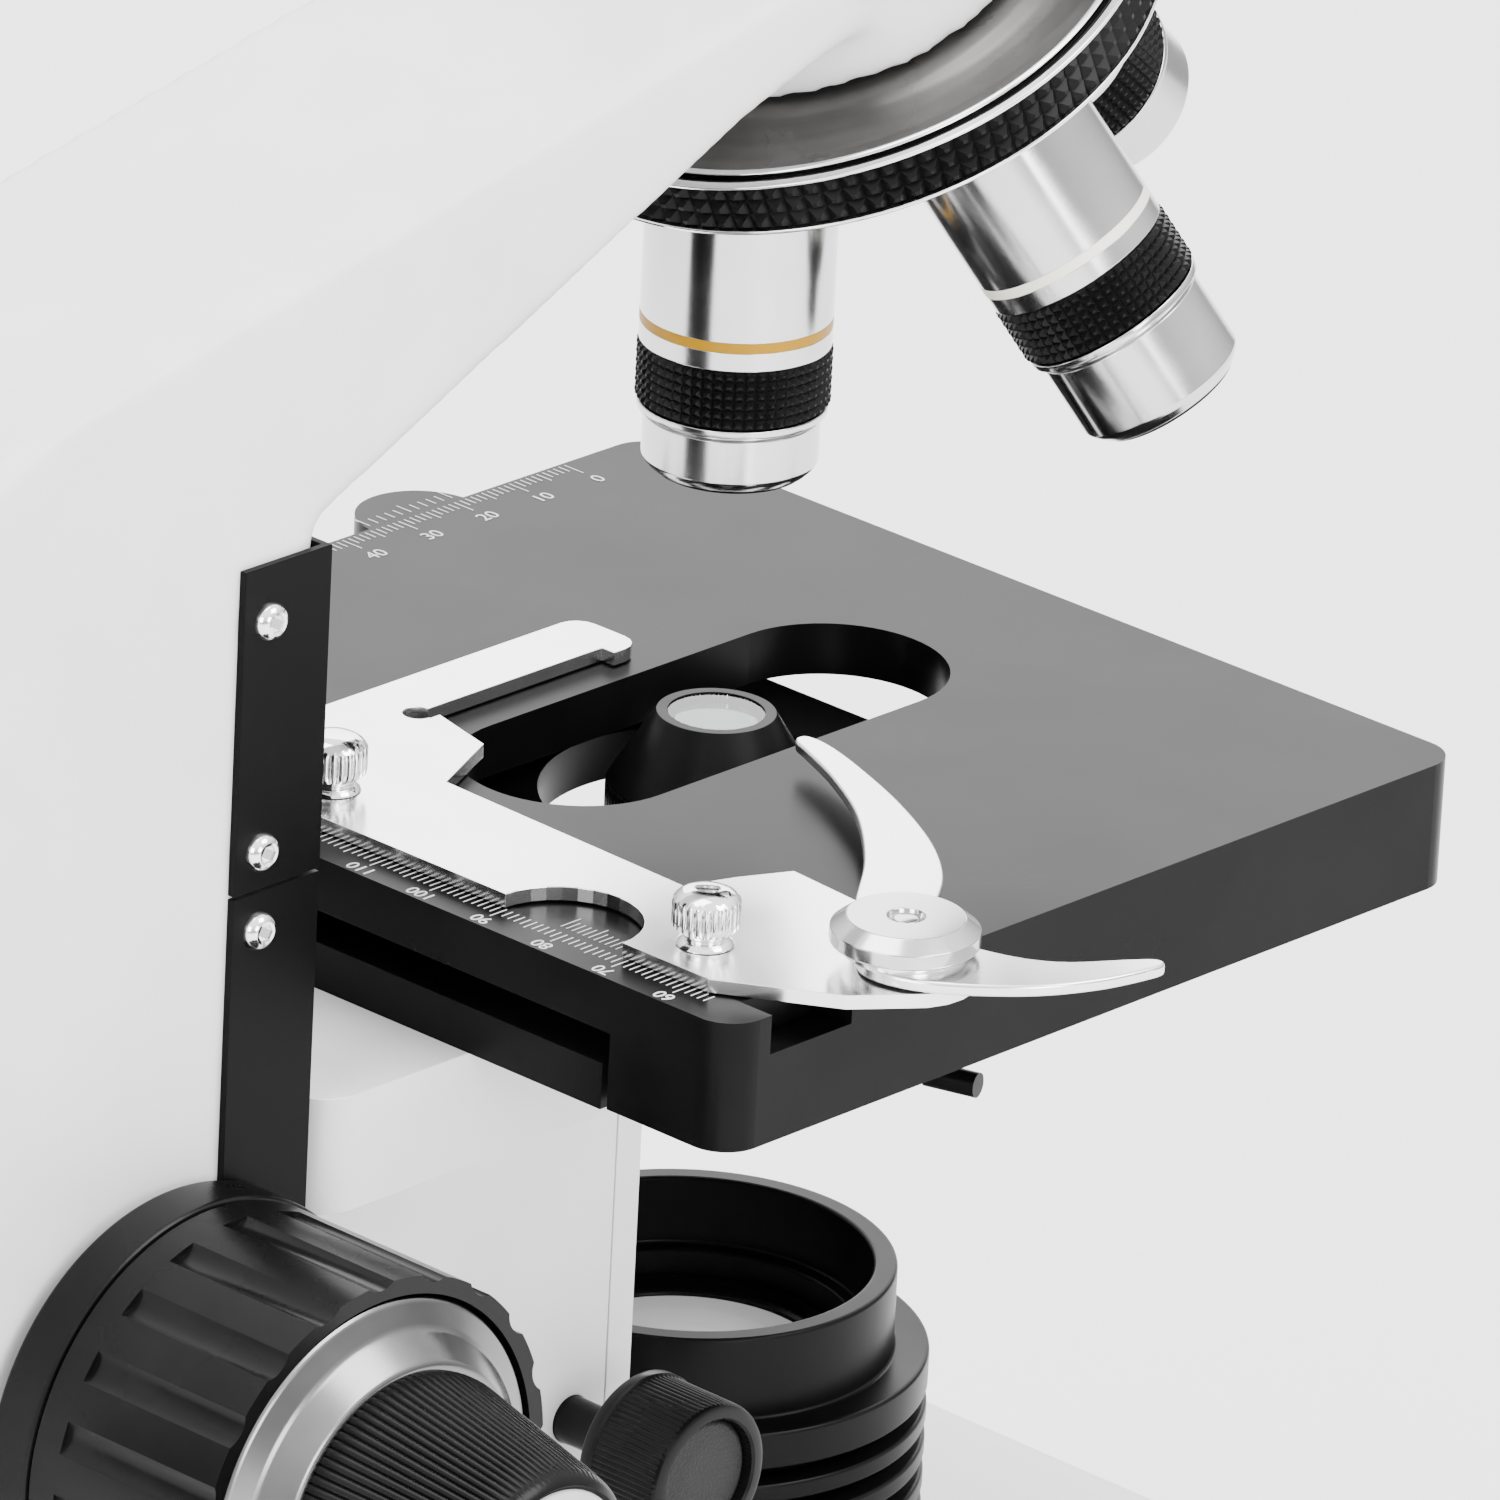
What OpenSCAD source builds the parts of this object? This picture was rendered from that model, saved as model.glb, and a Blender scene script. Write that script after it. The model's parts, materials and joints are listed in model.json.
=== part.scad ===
// Compound microscope with a mechanical stage, a four-objective turret and a two-tube head.
// Millimetres, +Z up, table at z = 0, operator in front at -Y, arm at the back.
// at_axis() places a sub-part in the optical frame: x = y = 0 on the optical axis and
// z = 0 on the top of the stage.

/* [Overall] */
// Height of the stage top above the table
stage_z = 166; // [162:1:190]
// Diameter clearance of running shafts
run_gap = 0.06; // [0.02:0.01:0.1]

/* [Base] */
// Width of the base
base_w = 160; // [150:1:210]
// Height of the base top above the table
base_h = 45; // [40:1:48]
// Reach of the base in front of the optical axis
base_front = 71; // [62:1:100]
// Thickness of the base casting's walls
base_wall = 4; // [3:0.5:6]

/* [Arm] */
// Width of the arm
arm_w = 50; // [48:1:60]
// Front of the column, behind the optical axis
column_front = 97; // [96:1:110]
// Depth of the column, front to back
column_depth = 71; // [60:1:90]
// Height of the head seat above the stage top
seat_z = 112; // [110:1:130]
// Rise of the arm's top towards the front, in degrees
arm_rise = 12; // [8:1:16]

/* [Stage] */
// Width of the upper stage plate
stage_w = 138.4; // [134:0.2:160]
// Depth of the upper stage plate
stage_d = 130.3; // [128:0.1:150]
// Width of the slot for the condenser
slot_w = 28.6; // [27:0.2:34]
// Length of the slot for the condenser
slot_l = 75; // [70:1:84]

/* [Objectives and turret] */
// Tilt of the turret's axis from vertical, in degrees
turret_tilt = 25; // [22:1:27]
// Diameter of the turret's knurled ring
turret_d = 82; // [78:1:90]
// Diameter of an objective barrel
barrel_d = 23.6; // [20:0.2:25]
// Working gap under the 10x objective
working_gap = 32; // [30:1:36]

/* [Focus drive] */
// Diameter of the coarse knob
coarse_d = 57; // [48:1:62]
// Length of the coarse knob
coarse_l = 28; // [24:1:34]
// Diameter of the fine knob at its root
fine_d = 38; // [30:1:42]
// Length of the fine knob past the coarse knob
fine_l = 30; // [26:1:38]

/* [Illuminator] */
// Diameter of the lamp housing's rim
lamp_rim_d = 52; // [48:1:56]
// Diameter of the lamp housing's fins
lamp_fin_d = 61; // [58:1:70]
// Drop from the stage top to the lamp housing's rim
lamp_drop = 73; // [72:0.5:76]
// Number of fins
fin_count = 7; // [3:1:9]

/* [Head] */
// Slope of the eyepiece tubes above horizontal, in degrees
tube_slope = 30; // [28:1:40]
// Distance between the eyepieces at rest
eye_distance = 64; // [58:1:72]
// Outer diameter of an eyepiece tube
tube_d = 30; // [29:0.5:33]

/* [Hidden] */
$fn = 64;
hull_fn = 32;
eps = 0.01;

// Heights and places shared by several sub-parts, in the optical frame
base_top = base_h - stage_z;
column_back = column_front + column_depth;
base_back = column_back + 7;
inlet_flange = 1.6;
// Each eyepiece tube hangs on an arm that swings on the head's hinge
hinge_r = 37.5;
hinge_y = -30;
fold = acos(eye_distance / 2 / hinge_r);
layer = 9;
tube_l = 30;
eyepiece_l = 24;
eye_reach = -hinge_y + hinge_r * sin(fold) * sin(tube_slope)
    + (2 * layer + tube_l + eyepiece_l) * cos(tube_slope) + (tube_d / 2 + 2) * sin(tube_slope);
// The origin is the centre of the whole object's footprint, eyepieces included
axis_y = (eye_reach - base_back - inlet_flange) / 2;
foot_h = 4;
plate_t = 2;
cover_t = 1;
fit = 0.3;

// Optical frame: origin on the optical axis at the top of the stage
module at_axis() {
    translate([0, axis_y, stage_z]) children();
}

// Box with round vertical corners, centred in x, from y0 to y1 and z0 to z1
module block(w, y0, y1, z0, z1, r) {
    for (x = [-1, 1], y = [y0 + r, y1 - r])
        translate([x * (w / 2 - r), y, z0]) cylinder(r = r, h = z1 - z0);
    translate([-w / 2 + r, y0, z0]) cube([w - 2 * r, y1 - y0, z1 - z0]);
    translate([-w / 2, y0 + r, z0]) cube([w, y1 - y0 - 2 * r, z1 - z0]);
}

// Box from one corner to the opposite corner
module span(a, b) {
    translate(a) cube(b - a);
}

// Cylinder along X from x0 to x1
module rod_x(r, x0, x1, y = 0, z = 0) {
    translate([min(x0, x1), y, z]) rotate([0, 90, 0]) cylinder(r = r, h = abs(x1 - x0));
}

// Cylinder along Z from z0 to z1
module rod_z(r, z0, z1, x = 0, y = 0) {
    translate([x, y, z0]) cylinder(r = r, h = z1 - z0);
}

// Cylinder along Y from y0 to y1
module rod_y(r, y0, y1, x = 0, z = 0) {
    translate([x, y1, z]) rotate([90, 0, 0]) cylinder(r = r, h = y1 - y0);
}

// Points of an arc, from angle a0 to a1
function arc(c, r, a0, a1, n = 12) =
    [for (i = [0:n]) c + r * [cos(a0 + (a1 - a0) * i / n), sin(a0 + (a1 - a0) * i / n)]];

// ---- Base ----
base_r = 22;
boss_x = base_w / 2 - 16;
boss_y = [-base_front + 16, base_back - 16];
lamp_spigot_r = 18;
base_post_r = 6;
base_screw_r = 1.55;
base_screw_l = 10;
inlet_x = -38;
inlet_body = [13.9, 22, 9.9];
inlet_face = [17, 12];
inlet_mouth = [12, 15, 8];
switch_x = 30;
switch_w = 9.4;
rear_z = base_top - 20;
dimmer_y = -30;
dimmer_z = base_top - 18;
base_floor = foot_h - stage_z;

module boss_places(z) {
    for (x = [-1, 1], y = boss_y) translate([x * boss_x, y, z]) children();
}

module base_shell() {
    color("whitesmoke") at_axis() difference() {
        block(base_w, -base_front, base_back, base_floor, base_top, base_r);
        difference() {
            block(base_w - 2 * base_wall, -base_front + base_wall, base_back - base_wall,
                base_floor - 1, base_top - base_wall, base_r - base_wall);
            boss_places(base_floor + plate_t) cylinder(r = base_post_r, h = base_h);
        }
        boss_places(base_floor) cylinder(r = base_screw_r + 0.05, h = base_screw_l + 4);
        rod_z(lamp_spigot_r + fit / 2, base_top - base_wall - 1, base_top + 1);
        span([inlet_x - inlet_body[0] - 0.1, base_back - 10, rear_z - inlet_body[2] - 0.1],
            [inlet_x + inlet_body[0] + 0.1, base_back + 1, rear_z + inlet_body[2] + 0.1]);
        span([switch_x - switch_w - 0.6, base_back - 10, rear_z - switch_h - 1.6],
            [switch_x + switch_w + 0.6, base_back + 1, rear_z + switch_h + 1.6]);
        rod_x(pot_neck_r + 0.2, base_w / 2 - 10, base_w / 2 + 1, dimmer_y, dimmer_z);
    }
}

module base_plate() {
    color("dimgray") at_axis() difference() {
        block(base_w - 2 * base_wall - 2 * fit, -base_front + base_wall + fit,
            base_back - base_wall - fit, base_floor, base_floor + plate_t, base_r - base_wall);
        boss_places(base_floor - 1) cylinder(r = base_screw_r + 0.65, h = 9);
        for (y = [20, 32, 44, 56, 68])
            span([-30, y, base_floor - 1], [30, y + 4, base_floor + plate_t + 1]);
    }
}

module rubber_feet() {
    color("black") at_axis()
        for (x = [-1, 1], y = [boss_y[0] + 16, boss_y[1] - 16])
            translate([x * (boss_x - 4), y, -stage_z]) difference() {
                cylinder(r1 = 8.5, r2 = 9.5, h = foot_h);
                translate([0, 0, -eps]) cylinder(r = 3, h = 1.5);
            }
}

// Pan-head screw, head down, with its shank in a boss
module base_screws() {
    color("silver") at_axis() boss_places(base_floor) difference() {
        union() {
            translate([0, 0, -1.8]) cylinder(r = 3.6, h = 1.8);
            cylinder(r = base_screw_r, h = base_screw_l);
        }
        for (a = [0, 90]) rotate([0, 0, a]) translate([-2, -0.4, -2]) cube([4, 0.8, 1]);
    }
}

// Supply board on posts, with its transformer, choke and capacitors
board_y = base_back - 97;
board_z = base_floor + plate_t + 6;
board_t = 1.6;
module power_board() {
    color("darkgreen") at_axis() translate([0, board_y, board_z]) {
        for (x = [-52, 28]) translate([x, 9, -6]) translate([-3, -3, 0]) cube([6, 6, 6]);
        span([-60, 0, 0], [36, 56, board_t]);
        span([-50, 18, board_t], [-22, 46, 16]);
        span([-12, 20, board_t], [4, 44, 12]);
        for (x = [14, 26]) rod_z(5, board_t, 14, x, 32);
    }
}

module power_inlet() {
    color("black") at_axis() difference() {
        union() {
            span([inlet_x - inlet_body[0], base_back - inlet_body[1], rear_z - inlet_body[2]],
                [inlet_x + inlet_body[0], base_back, rear_z + inlet_body[2]]);
            span([inlet_x - inlet_face[0], base_back, rear_z - inlet_face[1]],
                [inlet_x + inlet_face[0], base_back + inlet_flange, rear_z + inlet_face[1]]);
        }
        span([inlet_x - inlet_mouth[0], base_back - inlet_mouth[1], rear_z - inlet_mouth[2]],
            [inlet_x + inlet_mouth[0], base_back + 2, rear_z + inlet_mouth[2]]);
    }
    color("silver") at_axis() for (x = [-6, 0, 6])
        span([inlet_x + x - 1, base_back - inlet_mouth[1] - 1, rear_z - 2],
            [inlet_x + x + 1, base_back - 3, rear_z + 2]);
}

switch_r = 12;
// Depth of the rocker's axle behind the base's rear face
switch_in = 9.5;
switch_h = 5.4;
module power_switch() {
    color("black") at_axis() intersection() {
        span([switch_x - switch_w, base_back - 11, rear_z - switch_h],
            [switch_x + switch_w, base_back + 4, rear_z + switch_h]);
        difference() {
            rod_x(switch_r, switch_x - switch_w, switch_x + switch_w, base_back - switch_in, rear_z);
            rod_x(20, switch_x - 10, switch_x + 10, base_back + 20.6, rear_z);
        }
    }
}

dimmer_in = base_w / 2 - base_wall;
pot_neck_r = 4;
pot_shaft_r = 2.97;
module dimmer_pot() {
    color("silver") at_axis() {
        rod_x(9, dimmer_in - 9, dimmer_in, dimmer_y, dimmer_z);
        rod_x(pot_neck_r, dimmer_in - 1, base_w / 2, dimmer_y, dimmer_z);
        rod_x(pot_shaft_r, base_w / 2 - 1, base_w / 2 + 9, dimmer_y, dimmer_z);
    }
}

module dimmer_knob() {
    color("black") at_axis() translate([base_w / 2 + fit, dimmer_y, dimmer_z]) rotate([0, 90, 0])
        difference() {
            cylinder(r = 10, h = 11);
            translate([0, 0, -1]) cylinder(r = pot_shaft_r + run_gap / 2, h = 10);
            for (i = [0:17]) rotate([0, 0, i * 20]) translate([10.4, 0, -1])
                cylinder(r = 0.9, h = 13, $fn = 16);
        }
}

// ---- Illuminator ----
lamp_top = -lamp_drop;
lamp_fins_top = lamp_top - 16;
fin_pitch = (lamp_fins_top - base_top) / fin_count;
lens_seat = lamp_top - 19;
filter_depth = 9;
filter_wall = 3;
lens_r = lamp_rim_d / 2 - 5;
well_r = 15;

module lamp_housing() {
    color("black") at_axis() difference() {
        union() {
            rod_z(lamp_rim_d / 2, lamp_top - 12, lamp_top);
            rod_z(lamp_fin_d / 2, lamp_fins_top, lamp_top - 11);
            for (i = [0:fin_count - 1])
                rod_z(lamp_fin_d / 2, base_top + i * fin_pitch, base_top + (i + 0.55) * fin_pitch);
            rod_z(lamp_fin_d / 2 - 4, base_top, lamp_fins_top + 1);
            rod_z(lamp_spigot_r, base_top - base_wall - 3, base_top + 1);
        }
        rod_z(lamp_rim_d / 2 - filter_wall, lamp_top - filter_depth, lamp_top + 1);
        rod_z(lens_r, lens_seat, lamp_top + 1);
        rod_z(well_r, base_top - base_wall - 4, lamp_top);
    }
}

lens_t = 6;
lens_curve = 45;
module field_lens() {
    color("aliceblue") at_axis() translate([0, 0, lens_seat]) intersection() {
        cylinder(r = lens_r, h = lens_t);
        translate([0, 0, lens_t - lens_curve]) sphere(r = lens_curve);
    }
}

led_z = base_top - base_wall + 2;
module led_module() {
    color("gold") at_axis() {
        rod_z(well_r, led_z, led_z + 3);
        rod_z(3, led_z + 3, led_z + 6);
        rod_z(6, led_z - 11, led_z + 0.5);
        for (z = [-11, -7, -3]) rod_z(well_r - 1, led_z + z, led_z + z + 2);
    }
}

// ---- Arm ----
focus_y = column_front + 23;
focus_z = -49;
slot_x = 20.5;
slot_y = column_front + 33;
slot_z0 = base_top + 2;
slot_z1 = 36;
bush_r = 7.5;
head_bore_r = 21;
head_bore_h = 6;
head_screw_r = 2.5;
head_screw_knob_r = 5.5;
head_screw_z = seat_z - 3.5;
rod_r = 4;
rod_y0 = column_front + 8;
rod_dx = 12.5;
// The turret's axis leans forward from a point on the optical axis
apex_z = 120.2;
boss_r = 28;
boss_t = 27;
// Pivot screw of the turret, and its depth in the arm
pivot_r = 4;
pivot_in = 6;
light_r = 10;
back_r = 40;
// Point where the arm's top passes over the optical axis
arm_top_z = seat_z - 3;
back_z = arm_top_z - (column_back - back_r) * tan(arm_rise) - back_r / cos(arm_rise);
under_front = [25.6, 90.4];
under_back = [column_front, 56.6];

module turret_frame(t = 0) {
    translate([0, 0, apex_z]) rotate([-turret_tilt, 0, 0]) translate([0, 0, -t]) children();
}

module arm_profile() {
    polygon(concat(
        [[column_front, base_top], under_back, under_front, [6, 97], [-14, 104], [-14, arm_top_z],
            [0, arm_top_z]],
        arc([column_back - back_r, back_z], back_r, 90 - arm_rise, 0),
        [[column_back, base_top]]));
}

module arm() {
    color("whitesmoke") at_axis() difference() {
        union() {
            translate([-arm_w / 2, 0, 0]) rotate([90, 0, 90]) linear_extrude(arm_w) arm_profile();
            intersection() {
                turret_frame(boss_t) cylinder(r = boss_r, h = 60);
                span([-boss_r, -boss_r - 20, 60], [boss_r, boss_r + 10, arm_top_z]);
            }
            rod_z(boss_r, arm_top_z - 6, seat_z);
        }
        rod_z(head_bore_r, seat_z - head_bore_h, seat_z + 1);
        rod_z(light_r, 60, seat_z);
        span([-slot_x, column_front - 1, slot_z0], [slot_x, slot_y, slot_z1]);
        rod_x(bush_r, -arm_w / 2 - 1, arm_w / 2 + 1, focus_y, focus_z);
        for (x = [-rod_dx, rod_dx]) rod_z(rod_r, slot_z0 - rod_in[0], slot_z1 + rod_in[1], x, rod_y0);
        cover_screw_places() rod_y(1.5, -1, screw_depth + 0.3);
        rod_x(head_screw_r + 0.1, 0, boss_r + 1, 0, head_screw_z);
        turret_frame(boss_t) translate([0, 0, -1]) cylinder(r = pivot_r, h = pivot_in + 3);
    }
}

// ---- Cover plates ----
cover_side = 14.2;
cover_split = 13.3;
cover_top = 54.5;
// Depth of the cover screws in the arm's walls, which the slot leaves this thick
screw_depth = arm_w / 2 - slot_x - 0.8;
screw_head_r = 2.4;
screw_head_h = 1.4;
screw_dome_r = 2.9;
upper_screws = [[47.5, 9], [18.5, 9]];
lower_screws = [[8.5, 9], [base_top + 12, 9]];

// Screw places on both flanks, with +Y along the screw into the arm
module cover_screw_places() {
    for (s = [-1, 1], p = concat(upper_screws, lower_screws))
        translate([s * arm_w / 2, column_front + p[1], p[0]]) rotate([0, 0, s * 90]) children();
}

// Sheet folded round the column's front, from z0 to z1
module cover_sheet(z0, z1) {
    difference() {
        span([-arm_w / 2 - cover_t, column_front - cover_t, z0],
            [arm_w / 2 + cover_t, column_front + cover_side - cover_t, z1]);
        span([-arm_w / 2, column_front, z0 - 1], [arm_w / 2, column_back, z1 + 1]);
        cover_screw_places() rod_y(1.7, -3, 3);
    }
}

module upper_cover() {
    color("black") at_axis() cover_sheet(cover_split + 0.4, cover_top);
}

module lower_cover() {
    color("black") at_axis() difference() {
        cover_sheet(base_top + 0.2, cover_split);
        span([-slot_x - 0.5, column_front - 2, base_top - 1], [slot_x + 0.5, column_front + 1, -4]);
    }
}

module cover_screws() {
    color("silver") at_axis() cover_screw_places() difference() {
        union() {
            intersection() {
                rod_y(screw_head_r, -cover_t - screw_head_h, -cover_t);
                translate([0, screw_dome_r - cover_t - screw_head_h, 0]) sphere(r = screw_dome_r);
            }
            rod_y(1.45, -cover_t - 0.5, screw_depth);
        }
        for (a = [0, 90]) rotate([0, a, 0]) translate([-1.6, -cover_t - 3, -0.35]) cube([3.2, 2.2, 0.7]);
    }
}

// ---- Focus drive ----
tooth_n = 16;
pitch_r = 5;
tooth_pitch = 2 * PI * pitch_r / tooth_n;
tooth_h = 0.7;
coarse_shaft_r = 5;
fine_shaft_r = 2.4;
collar_x = arm_w / 2 + 2;
collar_l = 6.4;
knob_x = collar_x + collar_l + 0.4;
rim_x = knob_x + coarse_l;
fine_rise = 5.5;
fine_end = rim_x + fine_l;
rack_w = 11;
// Depth of the guide rods' ends in the arm, below and above its slot
rod_in = [1.5, 6];

module guide_rods() {
    color("silver") at_axis() for (x = [-rod_dx, rod_dx])
        rod_z(rod_r - 0.02, slot_z0 - rod_in[0], slot_z1 + rod_in[1], x, rod_y0);
}

module shaft_bushings() {
    color("goldenrod") at_axis() for (s = [-1, 1]) difference() {
        rod_x(bush_r - 0.02, s * (slot_x + 0.1), s * arm_w / 2, focus_y, focus_z);
        rod_x(coarse_shaft_r + run_gap / 2, s * slot_x, s * (arm_w / 2 + 1), focus_y, focus_z);
    }
}

// Toothed ring about Z with one tooth on each of +X and -Y
module pinion_2d(r, n, h) {
    w = PI * r / n;
    circle(r = r - h);
    for (i = [0:n - 1]) rotate(i * 360 / n)
        polygon([[r - h - 0.4, -0.62 * w], [r + h, -0.2 * w], [r + h, 0.2 * w], [r - h - 0.4, 0.62 * w]]);
}

module coarse_shaft() {
    color("silver") at_axis() difference() {
        union() {
            for (s = [-1, 1])
                rod_x(coarse_shaft_r, s * (rack_w / 2 + 1), s * (rim_x - 8), focus_y, focus_z);
            translate([-rack_w / 2 - 1.01, focus_y, focus_z]) rotate([90, 0, 90])
                linear_extrude(rack_w + 2.02) pinion_2d(pitch_r, tooth_n, tooth_h);
        }
        rod_x(fine_shaft_r + run_gap / 2, -rim_x, rim_x, focus_y, focus_z);
    }
}

module fine_shaft() {
    color("lightgray") at_axis() rod_x(fine_shaft_r, -fine_end + 6, fine_end - 6, focus_y, focus_z);
}

module tension_collar() {
    color("black") at_axis() difference() {
        rod_x(coarse_d / 2 + 0.4, -collar_x, -collar_x - collar_l, focus_y, focus_z);
        rod_x(coarse_shaft_r + run_gap / 2, -collar_x + 1, -collar_x - collar_l - 1, focus_y, focus_z);
        rod_x(coarse_d / 2 - 4, -collar_x + 1, -collar_x - 3, focus_y, focus_z);
    }
}

// Coarse knob about Z, from its inner face at z = 0 outwards
module coarse_knob() {
    difference() {
        cylinder(r = coarse_d / 2, h = coarse_l);
        translate([0, 0, coarse_l - 5]) cylinder(r = coarse_d / 2 - 2.2, h = 6);
        translate([0, 0, -1]) cylinder(r = coarse_shaft_r, h = coarse_l + 2);
        translate([0, 0, -1]) difference() {
            cylinder(r = coarse_d / 2 - 4, h = coarse_l - 9);
            cylinder(r = coarse_shaft_r + 4, h = coarse_l - 9);
        }
        for (i = [0:19]) rotate([0, 0, i * 18]) translate([coarse_d / 2 + 2.4, 0, 4])
            cylinder(r = 3.2, h = coarse_l, $fn = 32);
    }
}

module knob_frame(s, x) {
    translate([s * x, focus_y, focus_z]) rotate([0, s * 90, 0]) children();
}

module coarse_knob_left() {
    color("black") at_axis() knob_frame(-1, knob_x) coarse_knob();
}

// The right knob fills the width that the collar takes on the left
module coarse_knob_right() {
    color("black") at_axis() {
        knob_frame(1, knob_x) coarse_knob();
        knob_frame(1, collar_x) difference() {
            cylinder(r = coarse_shaft_r + 6, h = collar_l + 0.41);
            translate([0, 0, -1]) cylinder(r = coarse_shaft_r, h = collar_l + 2);
        }
    }
}

// Fine knob about Z: a dished disc behind a tapered grip
module fine_knob() {
    grip_z = fine_rise;
    color("silver") difference() {
        rotate_extrude() polygon([[0, -3.6], [coarse_d / 2 - 2.5, -3.6], [coarse_d / 2 - 2.5, -0.6],
            [fine_d / 2 + 1.5, grip_z - 0.8], [fine_d / 2 - 1, grip_z], [0, grip_z]]);
        translate([0, 0, -5]) cylinder(r = fine_shaft_r + 0.01, h = 30);
    }
    color("black") difference() {
        rotate_extrude() polygon([[0, grip_z - 0.5], [fine_d / 2, grip_z - 0.5], [fine_d / 2 - 5, fine_l - 3],
            [fine_d / 2 - 6.5, fine_l], [0, fine_l]]);
        translate([0, 0, -5]) cylinder(r = fine_shaft_r + 0.01, h = fine_l - 1);
    }
}

module fine_knob_left() {
    at_axis() knob_frame(-1, rim_x) fine_knob();
}

module fine_knob_right() {
    at_axis() knob_frame(1, rim_x) fine_knob();
}

// ---- Carriage ----
flange_z0 = -32;
flange_z1 = -17;
carriage_front = 36;
carriage_x = 20;
rack_face = focus_y - pitch_r;
carriage_back = rack_face - tooth_h - 3.2;
carriage_z0 = -98;

module carriage() {
    color("whitesmoke") at_axis() difference() {
        union() {
            block(54, 25, column_front - 2, flange_z0, flange_z1, 6);
            span([-carriage_x, carriage_front, carriage_z0], [carriage_x, carriage_back, flange_z0 + 1]);
            span([-carriage_x, column_front - 4, flange_z0], [carriage_x, carriage_back, flange_z1]);
        }
        for (x = [-rod_dx, rod_dx])
            rod_z(rod_r + run_gap / 2, carriage_z0 - 1, flange_z1 + 1, x, rod_y0);
        span([-tongue_x - fit, carriage_front - 1, carriage_z0 + 4],
            [tongue_x + fit, carriage_front + 14, cond_ring_z0]);
        rod_x(cond_shaft_r + run_gap / 2, -carriage_x - 1, carriage_x + 1, cond_shaft_y, cond_knob_z);
    }
}

// Teeth of an upright rack between z0 and z1, on its +Y face, one centred at start
module upright_teeth(w, z0, z1, start, pitch, pitch_y, h) {
    first = start - pitch * floor((start - z0) / pitch - 0.5);
    for (z = [first:pitch:z1 - pitch / 2]) translate([-w / 2, 0, z])
        rotate([90, 0, 90]) linear_extrude(w)
            polygon([[pitch_y - h - 0.4, -0.3 * pitch], [pitch_y + h, -0.1 * pitch],
                [pitch_y + h, 0.1 * pitch], [pitch_y - h - 0.4, 0.3 * pitch]]);
}

rack_z0 = carriage_z0 + 2;
rack_z1 = flange_z1 - 1;
module focus_rack() {
    color("goldenrod") at_axis() {
        span([-rack_w / 2, carriage_back, rack_z0], [rack_w / 2, rack_face - tooth_h - 0.2, rack_z1]);
        upright_teeth(rack_w, rack_z0, rack_z1, focus_z + tooth_pitch / 2, tooth_pitch, rack_face, tooth_h);
    }
}

// ---- Stage ----
slab_t = 6.8;
skirt_z = -16.5;
stage_y1 = 70.5;
stage_y0 = stage_y1 - stage_d;
lower_w = 97.6;
lower_z0 = -17;
lower_z1 = -11;
channel_y0 = 49.5;
channel_y1 = 63.5;
channel_t = 5;
slot_cy = 2;
skirt_w = stage_w / 2 - 50;
drive_x = 57;
drive_r = 4.5;
drive_y = channel_y0 + 0.1 + tooth_h - drive_r;
lower_front = -32;
rack2_x = drive_x - drive_r;

module stadium(w, l, z0, z1, cy) {
    for (s = [-1, 1]) rod_z(w / 2, z0, z1, 0, cy + s * (l - w) / 2);
    span([-w / 2, cy - (l - w) / 2, z0], [w / 2, cy + (l - w) / 2, z1]);
}

module lower_stage() {
    color("black") at_axis() difference() {
        union() {
            span([-lower_w / 2, lower_front, lower_z0], [lower_w / 2, stage_y1 - 0.2, lower_z1]);
            for (s = [-1, 1])
                span([s * 44.4 - 4.4, lower_front, lower_z1 - 1], [s * 44.4 + 4.4, 58, -slab_t - 0.05]);
        }
        rod_z(21.5, lower_z0 - 1, lower_z1 + 1);
        for (x = [-18, 18], y = [40, 60]) {
            rod_z(2.2, lower_z0 - 1, lower_z1 + 1, x, y);
            rod_z(4.2, lower_z1 - 3, lower_z1 + 1, x, y);
        }
    }
    color("silver") at_axis() for (x = [-18, 18], y = [40, 60])
        rod_z(4, lower_z1 - 3, lower_z1 - 0.4, x, y);
}

module upper_stage() {
    color("black") at_axis() difference() {
        union() {
            difference() {
                block(stage_w, stage_y0, stage_y1, skirt_z, 0, 5);
                span([-stage_w / 2 + skirt_w, stage_y0 + 4.8, skirt_z - 1],
                    [stage_w / 2 - skirt_w, stage_y1 + 1, -slab_t]);
            }
            rod_z(8.5, skirt_z, 0, stage_w / 2 - 1, -18);
        }
        stadium(slot_w, slot_l, -slab_t - 1, 1, slot_cy);
        span([-stage_w / 2 - 1, channel_y0, -channel_t], [stage_w / 2 + 1, channel_y1, 1]);
        rod_z(drive_r + 1.2, skirt_z - 1, -1.6, drive_x, drive_y);
        span([rack2_x - 3, stage_y0 + 10, skirt_z - 1], [rack2_x + 1.4, stage_y1 + 1, lower_z1 + 4.2]);
    }
}

slider_l0 = -64;
slider_l1 = 66;
slider_z0 = -4.9;
hole_x = [-52.5, 9.4];
holder_y = 57.5;
holder_screw_r = 1.85;
clip_at = [-72, 44];

// A straight rack of trapezoid teeth along X, teeth towards -Y, its pitch line at y = 0
module straight_rack(x0, x1, start, pitch, h, z0, z1) {
    first = start - pitch * floor((start - x0 - pitch) / pitch);
    for (x = [first:pitch:x1 - pitch]) translate([x, 0, z0]) linear_extrude(z1 - z0)
        polygon([[-0.3 * pitch, h + 0.4], [-0.1 * pitch, -h], [0.1 * pitch, -h], [0.3 * pitch, h + 0.4]]);
}

drive_n = 14;
drive_pitch = 2 * PI * drive_r / drive_n;

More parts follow.
